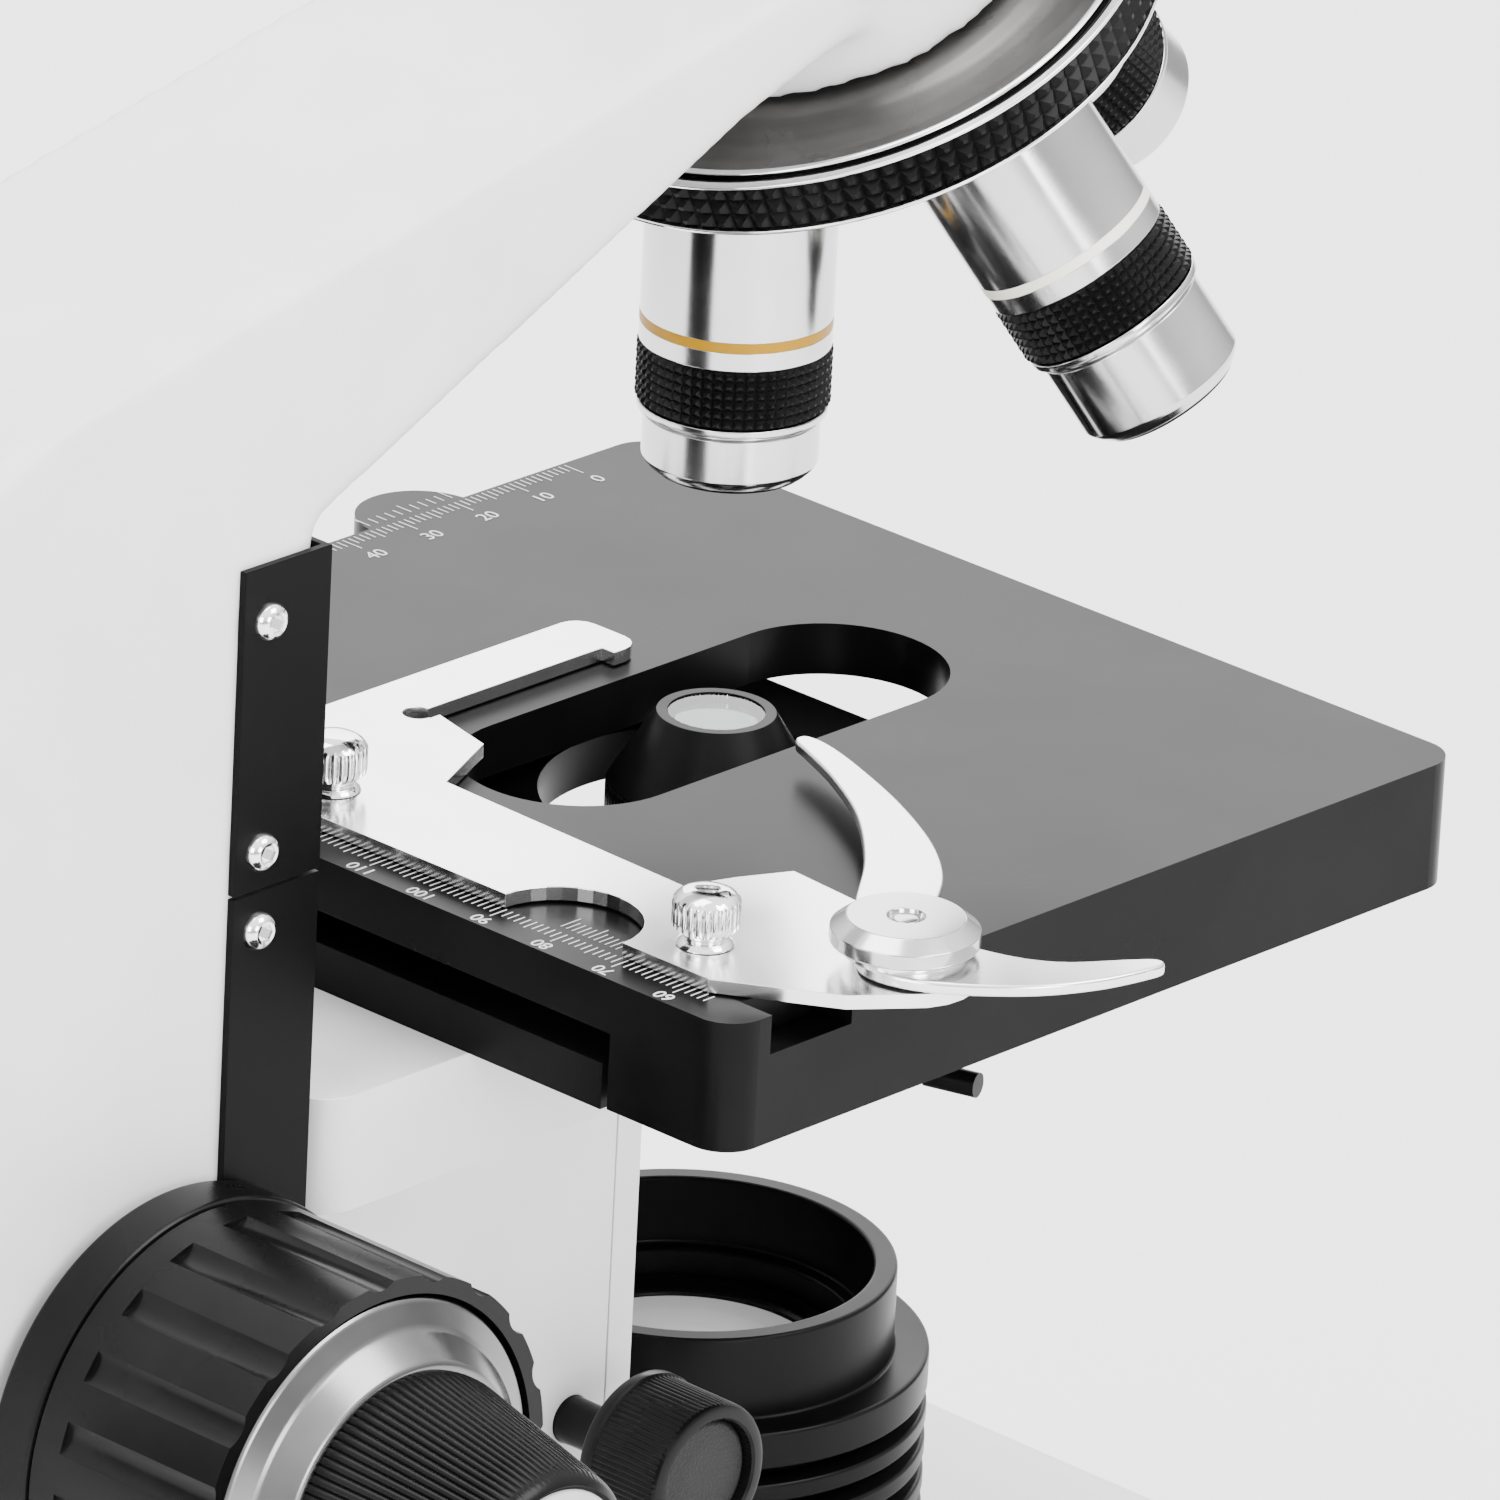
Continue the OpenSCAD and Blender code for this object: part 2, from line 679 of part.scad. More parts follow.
module cross_slider() {
    color("black") at_axis() difference() {
        union() {
            span([slider_l0, channel_y0 + 1.5, slider_z0], [slider_l1, channel_y1 - 0.1, -0.1]);
            translate([0, channel_y0 + 0.1 + tooth_h, 0]) straight_rack(slider_l0 + 62, slider_l1,
                drive_x, drive_pitch, tooth_h, slider_z0, -2.4);
        }
        for (x = hole_x) rod_z(holder_screw_r + 0.05, slider_z0 - 1, 1, x, holder_y);
    }
}

holder_t = 1.8;
module specimen_holder() {
    color("silver") at_axis() difference() {
        translate([0, 0, 0.2]) linear_extrude(holder_t) polygon(concat(
            [[-38.6, 46.7], [2, 45.4], [7.4, 33.4], [17.5, 30.8], [17.5, -2]],
            arc([20.5, -2], 3, 180, 270, 4), arc([25.6, -2], 3, 270, 360, 4),
            [[28.6, 64.8], [-26.8, 64.8]],
            arc([-36.4, 64.8], 9.6, 0, -180, 16),
            [[-60, 64.8], [-74, 56]],
            arc(clip_at, 9, 135, 270, 8), [[-55, 34.2], [-44.2, 33.3], [-41, 40]]));
        rod_z(1.9, 0, 3, 19.5, 32.5);
        span([17.4, 0, -1], [19.6, 32.5, 3]);
        for (x = hole_x) rod_z(holder_screw_r + 0.05, 0, 3, x, holder_y);
    }
}

module holder_screws() {
    color("silver") at_axis() for (x = hole_x) translate([x, holder_y, 0]) {
        rod_z(holder_screw_r, slider_z0, 3);
        rod_z(3, holder_t + 0.2, 4.5);
        difference() {
            rod_z(4.2, 3.9, 8);
            for (i = [0:19]) rotate([0, 0, i * 18]) translate([4.5, 0, 3.5]) cylinder(r = 0.6, h = 6, $fn = 16);
        }
        translate([0, 0, 7.9]) cylinder(r1 = 3.9, r2 = 2.6, h = 1.3);
    }
}

clip_z = holder_t + 0.5;
clip_pin_r = 2.5;
module slide_clip() {
    color("silver") at_axis() difference() {
        union() {
            translate([0, 0, clip_z]) linear_extrude(1.5) polygon(concat(
                [[-19, 5], [-30, 7], [-41, 11.2], [-52, 17], [-60, 23.5], [-67, 33]],
                [[-80, 36], [-86, 33], [-92, 24], [-94, 22.5], [-95.2, 25], [-92, 34], [-89, 41]],
                [[-80, 50], [-66, 47], [-58, 38], [-50, 27], [-40, 18], [-30, 12]]));
            rod_z(7.4, clip_z, clip_z + 2.4, clip_at[0], clip_at[1]);
        }
        rod_z(clip_pin_r + run_gap / 2, 0, 9, clip_at[0], clip_at[1]);
    }
}

module clip_pivot() {
    color("silver") at_axis() translate([clip_at[0], clip_at[1], 0]) difference() {
        union() {
            rod_z(clip_pin_r, holder_t + 0.2, clip_z + 3);
            rod_z(9, clip_z + 2.6, clip_z + 4.5);
            translate([0, 0, clip_z + 4.49]) cylinder(r1 = 9, r2 = 7.1, h = 1.5);
        }
        span([-3, -0.5, clip_z + 5], [3, 0.5, clip_z + 7]);
    }
}

// Rack on the lower stage's right edge, for the lengthwise drive
module length_rack() {
    color("goldenrod") at_axis() {
        span([lower_w / 2, lower_front + 6, lower_z0 + 0.6],
            [rack2_x - tooth_h - 0.2, stage_y1 - 0.2, lower_z1]);
        translate([rack2_x, 0, 0]) rotate([0, 0, 90])
            straight_rack(lower_front + 6, stage_y1, drive_y + drive_pitch / 2, drive_pitch, tooth_h,
                lower_z0 + 0.6, lower_z1);
    }
}

drive_shaft_r = 3;
inner_shaft_r = 1.6;
housing_z = -24;
length_z = -38;
cross_z = -62;
module drive_housing() {
    color("black") at_axis() difference() {
        rod_z(drive_r + 6, housing_z, skirt_z, drive_x, drive_y);
        rod_z(drive_shaft_r + run_gap / 2, housing_z - 1, skirt_z + 1, drive_x, drive_y);
        rod_z(drive_r + 1.4, skirt_z - 1, skirt_z + 1, drive_x, drive_y);
        // Room for the lower stage, which slides past
        span([0, stage_y0, lower_z0 - 2 * fit], [rack2_x + tooth_h + fit, stage_y1 + 20, 0]);
    }
}

// Grip ring with grooves, for the hanging drive knobs
module drive_grip(r, z0, z1, bore) {
    difference() {
        rod_z(r, z0, z1);
        rod_z(bore, z0 - 1, z1 + 1);
        for (i = [0:23]) rotate([0, 0, i * 15]) translate([r + 0.35, 0, z0 - 1])
            cylinder(r = 0.8, h = z1 - z0 + 2, $fn = 16);
    }
}

module length_knob() {
    color("black") at_axis() translate([drive_x, drive_y, 0]) {
        drive_grip(10, length_z - 14, length_z, drive_shaft_r - 0.2);
        difference() {
            union() {
                rod_z(drive_shaft_r, length_z - 14, lower_z0 + 0.7);
                translate([0, 0, lower_z0 + 0.6]) linear_extrude(lower_z1 - lower_z0 - 0.6)
                    pinion_2d(drive_r, drive_n, tooth_h);
            }
            rod_z(inner_shaft_r + run_gap / 2, length_z - 15, 0);
        }
    }
}

module cross_knob() {
    color("black") at_axis() translate([drive_x, drive_y, 0]) {
        drive_grip(8, cross_z - 10, cross_z + 9, inner_shaft_r - 0.2);
        rod_z(inner_shaft_r, cross_z - 10, -2.4);
        translate([0, 0, slider_z0]) linear_extrude(-2.4 - slider_z0) pinion_2d(drive_r, drive_n, tooth_h);
    }
}

// ---- Condenser ----
cond_r = 18.5;
cond_ring_z0 = -40;
cond_ring_z1 = -33;
cond_screw_r = 1.55;
cond_screw_z = (cond_ring_z0 + cond_ring_z1) / 2;
cond_knob_z = -76;
cond_knob_x = carriage_x + 11;
cond_knob_l = 12.4;
cond_shaft_r = 3;
cond_gear_r = 3.5;
cond_gear_n = 12;
cond_gear_h = 0.5;
cond_tongue = carriage_front + 1.6;
// The slide passes behind the lamp housing's fins
slide_front = lamp_fin_d / 2 + 1;
slide_z0 = -80;
slide_z1 = -43;
tongue_x = 6.7;
cond_pitch_y = cond_tongue + cond_gear_h + 0.2;
cond_shaft_y = cond_pitch_y + cond_gear_r;
cond_pitch = 2 * PI * cond_gear_r / cond_gear_n;

module condenser_slide() {
    color("whitesmoke") at_axis() {
        span([-carriage_x, slide_front, slide_z0], [carriage_x, carriage_front - fit, cond_ring_z1]);
        span([-tongue_x, carriage_front - 1, slide_z0], [tongue_x, cond_tongue, slide_z1]);
    }
    color("goldenrod") at_axis()
        upright_teeth(9, slide_z0, slide_z1, cond_knob_z + cond_pitch / 2, cond_pitch, cond_pitch_y,
            cond_gear_h);
}

module condenser_ring() {
    color("black") at_axis() difference() {
        union() {
            rod_z(cond_r + 4.6, cond_ring_z0, cond_ring_z1);
            span([-11, 12, cond_ring_z0], [11, slide_front, cond_ring_z1]);
        }
        rod_z(cond_r + run_gap / 2, cond_ring_z0 - 1, cond_ring_z1 + 1);
        rod_x(cond_screw_r + 0.05, -cond_r - 6, -10, 0, cond_screw_z);
    }
}

module condenser() {
    color("black") at_axis() difference() {
        rotate_extrude() polygon([[5, -0.2], [7.4, -0.2], [13, -9.4], [13, -15], [11, -16], [11, -20],
            [15, -22], [cond_r, -24], [cond_r, -42.4], [16, -42.4], [16, -44], [5, -44]]);
        rod_z(6, -3.2, 1);
        rod_z(10, -43, -8);
        rod_z(14, -45, -40);
        rotate([0, 0, iris_a]) translate([0, 0, -42.2]) linear_extrude(1.8)
            polygon([[0, 0], [30 * cos(iris_swing), -30 * sin(iris_swing)], [40, 0],
                [30 * cos(iris_swing), 30 * sin(iris_swing)]]);
    }
}

module condenser_lens() {
    color("aliceblue") at_axis() rod_z(6, -3.2, -0.4);
    color("aliceblue") at_axis() rod_z(10, -36, -33);
}

iris_a = 197;
iris_swing = 36;
module iris_lever() {
    color("black") at_axis() {
        difference() {
            rod_z(13.9, -41.9, -40.7);
            rod_z(6, -43, -40);
        }
        rotate([0, 0, iris_a]) {
            span([13, -1.2, -41.9], [33, 1.2, -40.7]);
            rod_x(1.6, 31, 38, 0, -41.3);
        }
    }
}

module condenser_screw() {
    color("black") at_axis() {
        rod_x(cond_screw_r, -cond_r - 8, -cond_r - 0.1, 0, cond_screw_z);
        rod_x(3.8, -cond_r - 12, -cond_r - 6, 0, cond_screw_z);
    }
}

module condenser_knob() {
    color("black") at_axis() translate([0, cond_shaft_y, cond_knob_z]) {
        rod_x(cond_shaft_r, -cond_knob_x - 2, -5);
        rod_x(cond_shaft_r, 5, carriage_x - 2);
        translate([-5.01, 0, 0]) rotate([90, 0, 90])
            linear_extrude(10.02) pinion_2d(cond_gear_r, cond_gear_n, cond_gear_h);
        difference() {
            rod_x(9.8, -cond_knob_x - cond_knob_l, -cond_knob_x);
            rod_x(7.6, -cond_knob_x - cond_knob_l - 1, -cond_knob_x - cond_knob_l + 1);
            for (i = [0:23]) rotate([i * 15, 0, 0])
                rod_x(0.7, -cond_knob_x - cond_knob_l + 2, -cond_knob_x + 1, 10.2, 0, $fn = 16);
        }
    }
}

// ---- Nosepiece ----
turret_t0 = 30;
turret_t1 = 36.5;
turret_r = turret_d / 2;
tan_t = tan(turret_tilt);
// The turret's lower face is square to each objective, and spot-faced for its shoulder
spot = 0.6;
seat_rho = (turret_t1 + (turret_r - 3) * tan_t) / (1 / tan_t + tan_t);
seat_l = seat_rho / sin(turret_tilt);
face_r = 8;
pivot_head = 1.6;
thread_r = 10.15;
face_t0 = turret_t1 + (turret_r - 3 - face_r) * tan_t;

module nosepiece_dome() {
    color("gray") at_axis() difference() {
        turret_frame() rotate([180, 0, 0]) rotate_extrude() polygon([[0, boss_t], [boss_r - 0.5, boss_t],
            [boss_r + 1, boss_t + 0.8], [boss_r + 4, turret_t0 - 1], [turret_r - 4, turret_t0 - 0.6],
            [turret_r - 4, turret_t0 - 0.1], [0, turret_t0 - 0.1]]);
        rod_z(light_r - 1, 60, seat_z);
        turret_frame(turret_t0) translate([0, 0, -1]) cylinder(r = pivot_r, h = 9);
    }
}

// Frame of one objective, with -Z along its barrel from the apex
module station(i) {
    turret_frame() rotate([0, 0, i * 90]) rotate([turret_tilt, 0, 0]) children();
}

module turret() {
    color("dimgray") at_axis() difference() {
        turret_frame() rotate([180, 0, 0]) rotate_extrude() polygon([[0, turret_t0 + 0.1],
            [turret_r - 1, turret_t0 + 0.1], [turret_r, turret_t0 + 0.8], [turret_r, turret_t1 - 0.8],
            [turret_r - 1, turret_t1], [turret_r - 3, turret_t1], [turret_r - 3, turret_t1 + spot],
            [face_r, face_t0 + spot], [0, face_t0 + spot]]);
        for (i = [0:3]) station(i) {
            rod_z(thread_r, -seat_l - 12, -20);
            rod_z(barrel_d / 2 + 0.6, -seat_l - 30, -seat_l);
        }
    }
    // Pivot screw, from under the turret up into the arm
    color("silver") at_axis() turret_frame(face_t0 + spot + pivot_head) {
        cylinder(r = pivot_r - 0.04, h = face_t0 + spot + pivot_head - boss_t + pivot_in);
        cylinder(r = 6, h = pivot_head + 0.1);
    }
}

parfocal = apex_z - seat_l;
tip_10x = parfocal - working_gap;

// Objective with its axis on -Z from the seat: l is the whole length, nose_r the tip radius
thread_l = 4;
sleeve_l = 19.6;
neck_l = 2.8;
band_l = 8;
module objective(l, nose_r, nose_l) {
    band_z = -sleeve_l - neck_l;
    difference() {
        translate([0, 0, -seat_l]) {
            rod_z(thread_r - 0.05, -0.5, thread_l);
            rod_z(barrel_d / 2, -sleeve_l, 0);
            rod_z(barrel_d / 2 - 1.2, band_z, -sleeve_l + 0.1);
            rod_z(barrel_d / 2 + 0.2, band_z - band_l, band_z + 0.1);
            rod_z(barrel_d / 2 - 1, -l + nose_l, band_z - band_l + 0.1);
            translate([0, 0, -l]) cylinder(r1 = nose_r, r2 = barrel_d / 2 - 1, h = nose_l + eps);
        }
        rod_z(7, -seat_l - l + nose_l + 3, -seat_l + 5);
        rod_z(nose_r - 2, -seat_l - l - 1, -seat_l);
    }
}

obj_l = [28.5 + 5, tip_10x, tip_10x + 4.6, tip_10x + 6.2];
nose = [[9.6, 1.2], [9.6, 1.2], [6, 5], [7.5, 4]];

module objective_4x() {
    color("silver") at_axis() station(3) objective(obj_l[0], nose[0][0], nose[0][1]);
}

module objective_10x() {
    color("silver") at_axis() station(0) objective(obj_l[1], nose[1][0], nose[1][1]);
}

module objective_40x() {
    color("silver") at_axis() station(2) objective(obj_l[2], nose[2][0], nose[2][1]);
}

module objective_100x() {
    color("silver") at_axis() station(1) objective(obj_l[3], nose[3][0], nose[3][1]);
}

lens_station = [3, 0, 2, 1];
module front_lenses() {
    color("aliceblue") at_axis() for (k = [0:3]) station(lens_station[k])
        rod_z(nose[k][0] - 2, -seat_l - obj_l[k] + 0.5, -seat_l - obj_l[k] + 2.2);
}

// ---- Head ----
hub_r = 15;
outer_r = tube_d / 2 + 2;
hinge_z = seat_z + 41;
eyepiece_r = 11.6;

// Frame of the head's hinge: +Z along the tubes, towards the eyes
module hinge_frame() {
    translate([0, hinge_y, hinge_z]) rotate([90 - tube_slope, 0, 0]) children();
}

module head_body() {
    color("whitesmoke") at_axis() difference() {
        union() {
            rod_z(head_bore_r - 0.05, seat_z - head_bore_h + 0.4, seat_z + 2);
            rod_z(boss_r, seat_z + 0.1, seat_z + 9);
            hull() {
                translate([0, 0, seat_z + 8.9]) cylinder(r = boss_r - 2, h = 1, $fn = hull_fn);
                hinge_frame() translate([0, 0, -3]) cylinder(r = 27, h = 3, $fn = hull_fn);
                translate([0, 16, seat_z + 42]) sphere(r = 12, $fn = hull_fn);
            }
            hinge_frame() rod_z(5, -1, 2 * layer + 1.6);
            hinge_frame() rod_z(8, 2 * layer + 0.3, 2 * layer + 2);
        }
        rod_z(14, seat_z - head_bore_h, seat_z + 30);
    }
}

module head_screw() {
    color("black") at_axis() {
        rod_x(head_screw_r, head_bore_r, boss_r + 6, 0, head_screw_z);
        rod_x(head_screw_knob_r, boss_r + 3, boss_r + 12, 0, head_screw_z);
    }
}

// Prism arm of one tube: s is -1 for the left tube, and the arm's hub is layer k
module prism_arm(s, k) {
    a = s > 0 ? -fold : 180 + fold;
    hinge_frame() rotate([0, 0, a]) {
        difference() {
            union() {
                translate([0, 0, 0.3]) hull() {
                    cylinder(r = hub_r, h = 2 * layer - 0.3);
                    translate([hinge_r, 0, 0]) cylinder(r = outer_r, h = 2 * layer - 0.3);
                }
                rod_z(tube_d / 2, 1, 2 * layer + tube_l, hinge_r);
            }
            rod_z(5 + run_gap / 2, -1, 2 * layer + 1);
            // Room for the other arm's hub layer
            translate([0, 0, k == 0 ? layer - 0.1 : -1]) cylinder(r = 26, h = layer + 1.3);
            rod_z(eyepiece_r + run_gap / 2, layer, 2 * layer + tube_l + 1, hinge_r);
        }
    }
}

module tube_left() {
    color("whitesmoke") at_axis() prism_arm(-1, 0);
}

module tube_right() {
    color("whitesmoke") at_axis() prism_arm(1, 1);
}

// Frame at the mouth of a tube
module mouth(s) {
    hinge_frame() rotate([0, 0, s > 0 ? -fold : 180 + fold])
        translate([hinge_r, 0, 2 * layer + tube_l]) children();
}

module diopter_ring() {
    color("black") at_axis() mouth(-1) difference() {
        rod_z(tube_d / 2 + 2.5, -12, -2);
        rod_z(tube_d / 2 + run_gap / 2, -13, -1);
        for (i = [0:23]) rotate([0, 0, i * 15]) translate([tube_d / 2 + 2.9, 0, -13])
            cylinder(r = 0.8, h = 12, $fn = 16);
    }
}

module eyepiece() {
    color("black") difference() {
        union() {
            rod_z(eyepiece_r, -24, 1);
            rod_z(tube_d / 2 + 0.5, 0.1, eyepiece_l - 8);
            rod_z(tube_d / 2 + 2, eyepiece_l - 8.1, eyepiece_l);
        }
        rod_z(9.5, -25, eyepiece_l - 6);
        rod_z(tube_d / 2 - 3, eyepiece_l - 4, eyepiece_l + 1);
    }
    color("aliceblue") rod_z(tube_d / 2 - 3, eyepiece_l - 4, eyepiece_l - 2.6);
}

module eyepiece_left() {
    at_axis() mouth(-1) eyepiece();
}

module eyepiece_right() {
    at_axis() mouth(1) eyepiece();
}

base_shell();
base_plate();
rubber_feet();
base_screws();
power_board();
power_inlet();
power_switch();
dimmer_pot();
dimmer_knob();
lamp_housing();
field_lens();
led_module();
arm();
upper_cover();
lower_cover();
cover_screws();
guide_rods();
shaft_bushings();
coarse_shaft();
fine_shaft();
coarse_knob_left();
coarse_knob_right();
fine_knob_left();
fine_knob_right();
tension_collar();
carriage();
focus_rack();
lower_stage();
upper_stage();
cross_slider();
specimen_holder();
holder_screws();
slide_clip();
clip_pivot();
length_rack();
drive_housing();
cross_knob();
length_knob();
condenser_slide();
condenser_ring();
condenser();
condenser_lens();
iris_lever();
condenser_screw();
condenser_knob();
nosepiece_dome();
turret();
objective_4x();
objective_10x();
objective_40x();
objective_100x();
front_lenses();
head_body();
head_screw();
tube_left();
tube_right();
diopter_ring();
eyepiece_left();
eyepiece_right();
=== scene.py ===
"""Looks of a compound microscope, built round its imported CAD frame. Metres, +Z up."""

import json
import math

import bmesh
import bpy
from mathutils import Matrix, Vector


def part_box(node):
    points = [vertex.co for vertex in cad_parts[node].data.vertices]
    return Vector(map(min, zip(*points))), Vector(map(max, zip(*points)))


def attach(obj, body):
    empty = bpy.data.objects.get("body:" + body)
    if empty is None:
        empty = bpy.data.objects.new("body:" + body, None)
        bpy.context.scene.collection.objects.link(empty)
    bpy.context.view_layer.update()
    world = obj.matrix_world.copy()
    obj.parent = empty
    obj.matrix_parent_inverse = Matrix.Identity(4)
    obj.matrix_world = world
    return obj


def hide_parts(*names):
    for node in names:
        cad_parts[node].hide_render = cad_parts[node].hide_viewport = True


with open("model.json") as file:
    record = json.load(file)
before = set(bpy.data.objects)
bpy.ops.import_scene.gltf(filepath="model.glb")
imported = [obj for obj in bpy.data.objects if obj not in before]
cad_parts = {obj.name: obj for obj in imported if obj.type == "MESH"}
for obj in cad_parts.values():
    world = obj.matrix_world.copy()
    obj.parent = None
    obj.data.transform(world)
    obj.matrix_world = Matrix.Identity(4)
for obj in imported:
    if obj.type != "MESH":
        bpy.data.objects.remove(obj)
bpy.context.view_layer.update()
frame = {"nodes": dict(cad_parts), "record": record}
NODES = frame["nodes"]
MM = 0.001


# ---- Places taken from the frame ----

def joint(name):
    """The record's joint of that name."""
    return next(j for j in frame["record"]["behaviour"]["joints"] if j["name"] == name)


def low(node):
    return Vector(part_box(node)[0])


def high(node):
    return Vector(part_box(node)[1])


def middle(node):
    return (low(node) + high(node)) / 2


def along(origin, z_axis, x_hint=(1, 0, 0)):
    """Matrix whose +Z is z_axis and whose +X is as near x_hint as it can be."""
    z = Vector(z_axis).normalized()
    x = (Vector(x_hint) - z * z.dot(Vector(x_hint))).normalized()
    y = z.cross(x)
    m = Matrix((x, y, z)).transposed().to_4x4()
    m.translation = Vector(origin)
    return m


STAGE_TOP = high("upper_stage").z
AXIS = Vector((0, joint("iris_turn")["pos_m"][1], STAGE_TOP))
TURRET = joint("turret_turn")
TURRET_AXIS = Vector(TURRET["axis"]).normalized()
APEX = Vector(TURRET["pos_m"])
TILT = math.acos(TURRET_AXIS.z)
TURRET_FRAME = along(APEX, TURRET_AXIS)
FOCUS = Vector(joint("coarse_turn")["pos_m"])


# ---- Mesh building ----

# How many facets the widest turned pieces have round their axis
DISC_SEGMENTS = 160


def new_piece(name, mesh, body, material, matrix=None, crisp=True):
    """A piece made from a mesh, riding on a body. crisp keeps flat faces flat in their shading."""
    piece = bpy.data.objects.new(name, mesh)
    bpy.context.scene.collection.objects.link(piece)
    if matrix is not None:
        piece.matrix_world = matrix
        bpy.context.view_layer.update()
    mesh.materials.clear()
    mesh.materials.append(material)
    if crisp:
        piece.modifiers.new("normals", "WEIGHTED_NORMAL").keep_sharp = True
    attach(piece, body)
    return piece


def mesh_from(name, bm, smooth=math.radians(35)):
    """A mesh from a bmesh, smooth shaded except across sharp edges."""
    bmesh.ops.recalc_face_normals(bm, faces=bm.faces)
    mesh = bpy.data.meshes.new(name)
    bm.to_mesh(mesh)
    bm.free()
    mesh.shade_smooth()
    mesh.set_sharp_from_angle(angle=smooth)
    return mesh


def rounded(profile, radius=0.25, steps=3):
    """The (r, z) profile in millimetres with its inner corners rounded."""
    out = [profile[0]]
    for a, b, c in zip(profile, profile[1:], profile[2:]):
        p, q, s = Vector(a), Vector(b), Vector(c)
        reach = min(radius, (p - q).length * 0.45, (s - q).length * 0.45)
        start, end = q + (p - q).normalized() * reach, q + (s - q).normalized() * reach
        for i in range(steps + 1):
            t = i / steps
            out.append(tuple(start * (1 - t) ** 2 + q * 2 * t * (1 - t) + end * t * t))
    out.append(profile[-1])
    return out


def lathe(name, profile, segments=128, wave=None):
    """A closed turned mesh. profile is (r, z) in millimetres, and wave(angle, r, z) may move r."""
    bm = bmesh.new()
    rings = []
    for r, z in profile:
        if r < 1e-6:
            rings.append([bm.verts.new((0, 0, z * MM))])
            continue
        ring = []
        for k in range(segments):
            a = 2 * math.pi * k / segments
            rr = wave(a, r, z) if wave else r
            ring.append(bm.verts.new((rr * MM * math.cos(a), rr * MM * math.sin(a), z * MM)))
        rings.append(ring)
    for lower, upper in zip(rings, rings[1:]):
        for k in range(segments):
            n = (k + 1) % segments
            corners = [lower[k % len(lower)], lower[n % len(lower)],
                       upper[n % len(upper)], upper[k % len(upper)]]
            unique = list(dict.fromkeys(corners))
            if len(unique) > 2:
                bm.faces.new(unique)
    return mesh_from(name, bm)


def knurl(name, r, z0, z1, columns, rows, depth):
    """A band of small square pyramids round Z, in millimetres, closed by an inner sleeve."""
    bm = bmesh.new()
    base = r - depth
    inner = r - depth - 1.2

    def vert(rr, k, z):
        a = 2 * math.pi * k / columns
        return bm.verts.new((rr * MM * math.cos(a), rr * MM * math.sin(a), z * MM))

    step = (z1 - z0) / rows
    grid = [[vert(base, k, z0 + i * step) for k in range(columns)] for i in range(rows + 1)]
    for i in range(rows):
        for k in range(columns):
            n = (k + 1) % columns
            quad = [grid[i][k], grid[i][n], grid[i + 1][n], grid[i + 1][k]]
            # A small flat on each pyramid's top keeps its point from being a needle
            top = [vert(r, k + 0.5 + dx * 0.12, z0 + (i + 0.5 + dz * 0.12) * step)
                   for dx, dz in ((-1, -1), (1, -1), (1, 1), (-1, 1))]
            bm.faces.new(top)
            for e in range(4):
                f = (e + 1) % 4
                bm.faces.new((quad[e], quad[f], top[f], top[e]))
    ends = [[vert(inner, k, z) for k in range(columns)] for z in (z0, z1)]
    for k in range(columns):
        n = (k + 1) % columns
        bm.faces.new((grid[0][k], grid[0][n], ends[0][n], ends[0][k]))
        bm.faces.new((grid[rows][k], grid[rows][n], ends[1][n], ends[1][k]))
        bm.faces.new((ends[0][k], ends[0][n], ends[1][n], ends[1][k]))
    return mesh_from(name, bm, smooth=math.radians(10))


def plate(name, outline, z0, z1):
    """A flat piece from an outline of (x, y) in metres, from z0 to z1."""
    bm = bmesh.new()
    lower = bm.faces.new([bm.verts.new((x, y, z0)) for x, y in outline])
    raised = bmesh.ops.extrude_face_region(bm, geom=[lower])["geom"]
    for v in raised:
        if isinstance(v, bmesh.types.BMVert):
            v.co.z = z1
    return mesh_from(name, bm)


def gathered(name, parts):
    """One mesh from (mesh, matrix) pairs."""
    bm = bmesh.new()
    for mesh, matrix in parts:
        copy = mesh.copy()
        copy.transform(matrix)
        bm.from_mesh(copy)
        bpy.data.meshes.remove(copy)
    return mesh_from(name, bm)


def curved(points, steps=6):
    """A closed outline through the points, on a smooth spline."""
    out = []
    count = len(points)
    for i in range(count):
        a, b, c, d = (Vector(points[(i + k) % count]) for k in (-1, 0, 1, 2))
        for k in range(steps):
            t = k / steps
            out.append(0.5 * (2 * b + (c - a) * t + (2 * a - 5 * b + 4 * c - d) * t * t
                              + (3 * b - a - 3 * c + d) * t ** 3))
    return out


def islands(node):
    """Boxes of a CAD node's separate solids, as (low, high) corners, in order."""
    bm = bmesh.new()
    bm.from_mesh(NODES[node].data)
    bm.transform(NODES[node].matrix_world)
    bmesh.ops.remove_doubles(bm, verts=bm.verts, dist=0.000001)
    left = set(bm.verts)
    boxes = []
    while left:
        stack = [left.pop()]
        points = []
        while stack:
            v = stack.pop()
            points.append(v.co.copy())
            for other in (e.other_vert(v) for e in v.link_edges):
                if other in left:
                    left.remove(other)
                    stack.append(other)
        boxes.append((tuple(min(p[i] for p in points) for i in range(3)),
                      tuple(max(p[i] for p in points) for i in range(3))))
    bm.free()
    return [(Vector(a), Vector(b)) for a, b in sorted(boxes)]


def baked(piece):
    """The piece's mesh with its modifiers applied, in its own coordinates."""
    graph = bpy.context.evaluated_depsgraph_get()
    return bpy.data.meshes.new_from_object(piece.evaluated_get(graph))


# ---- Treatment of CAD nodes ----

# Points closer than this, in metres, are one, and faces within this angle are one flat face
WELD_GAP = 0.00001
FLAT_ANGLE = math.radians(0.4)

# How strongly each pass relaxes a casting, and the share of its faces that it keeps
RELAX = 0.5
KEPT_FACES = 0.35


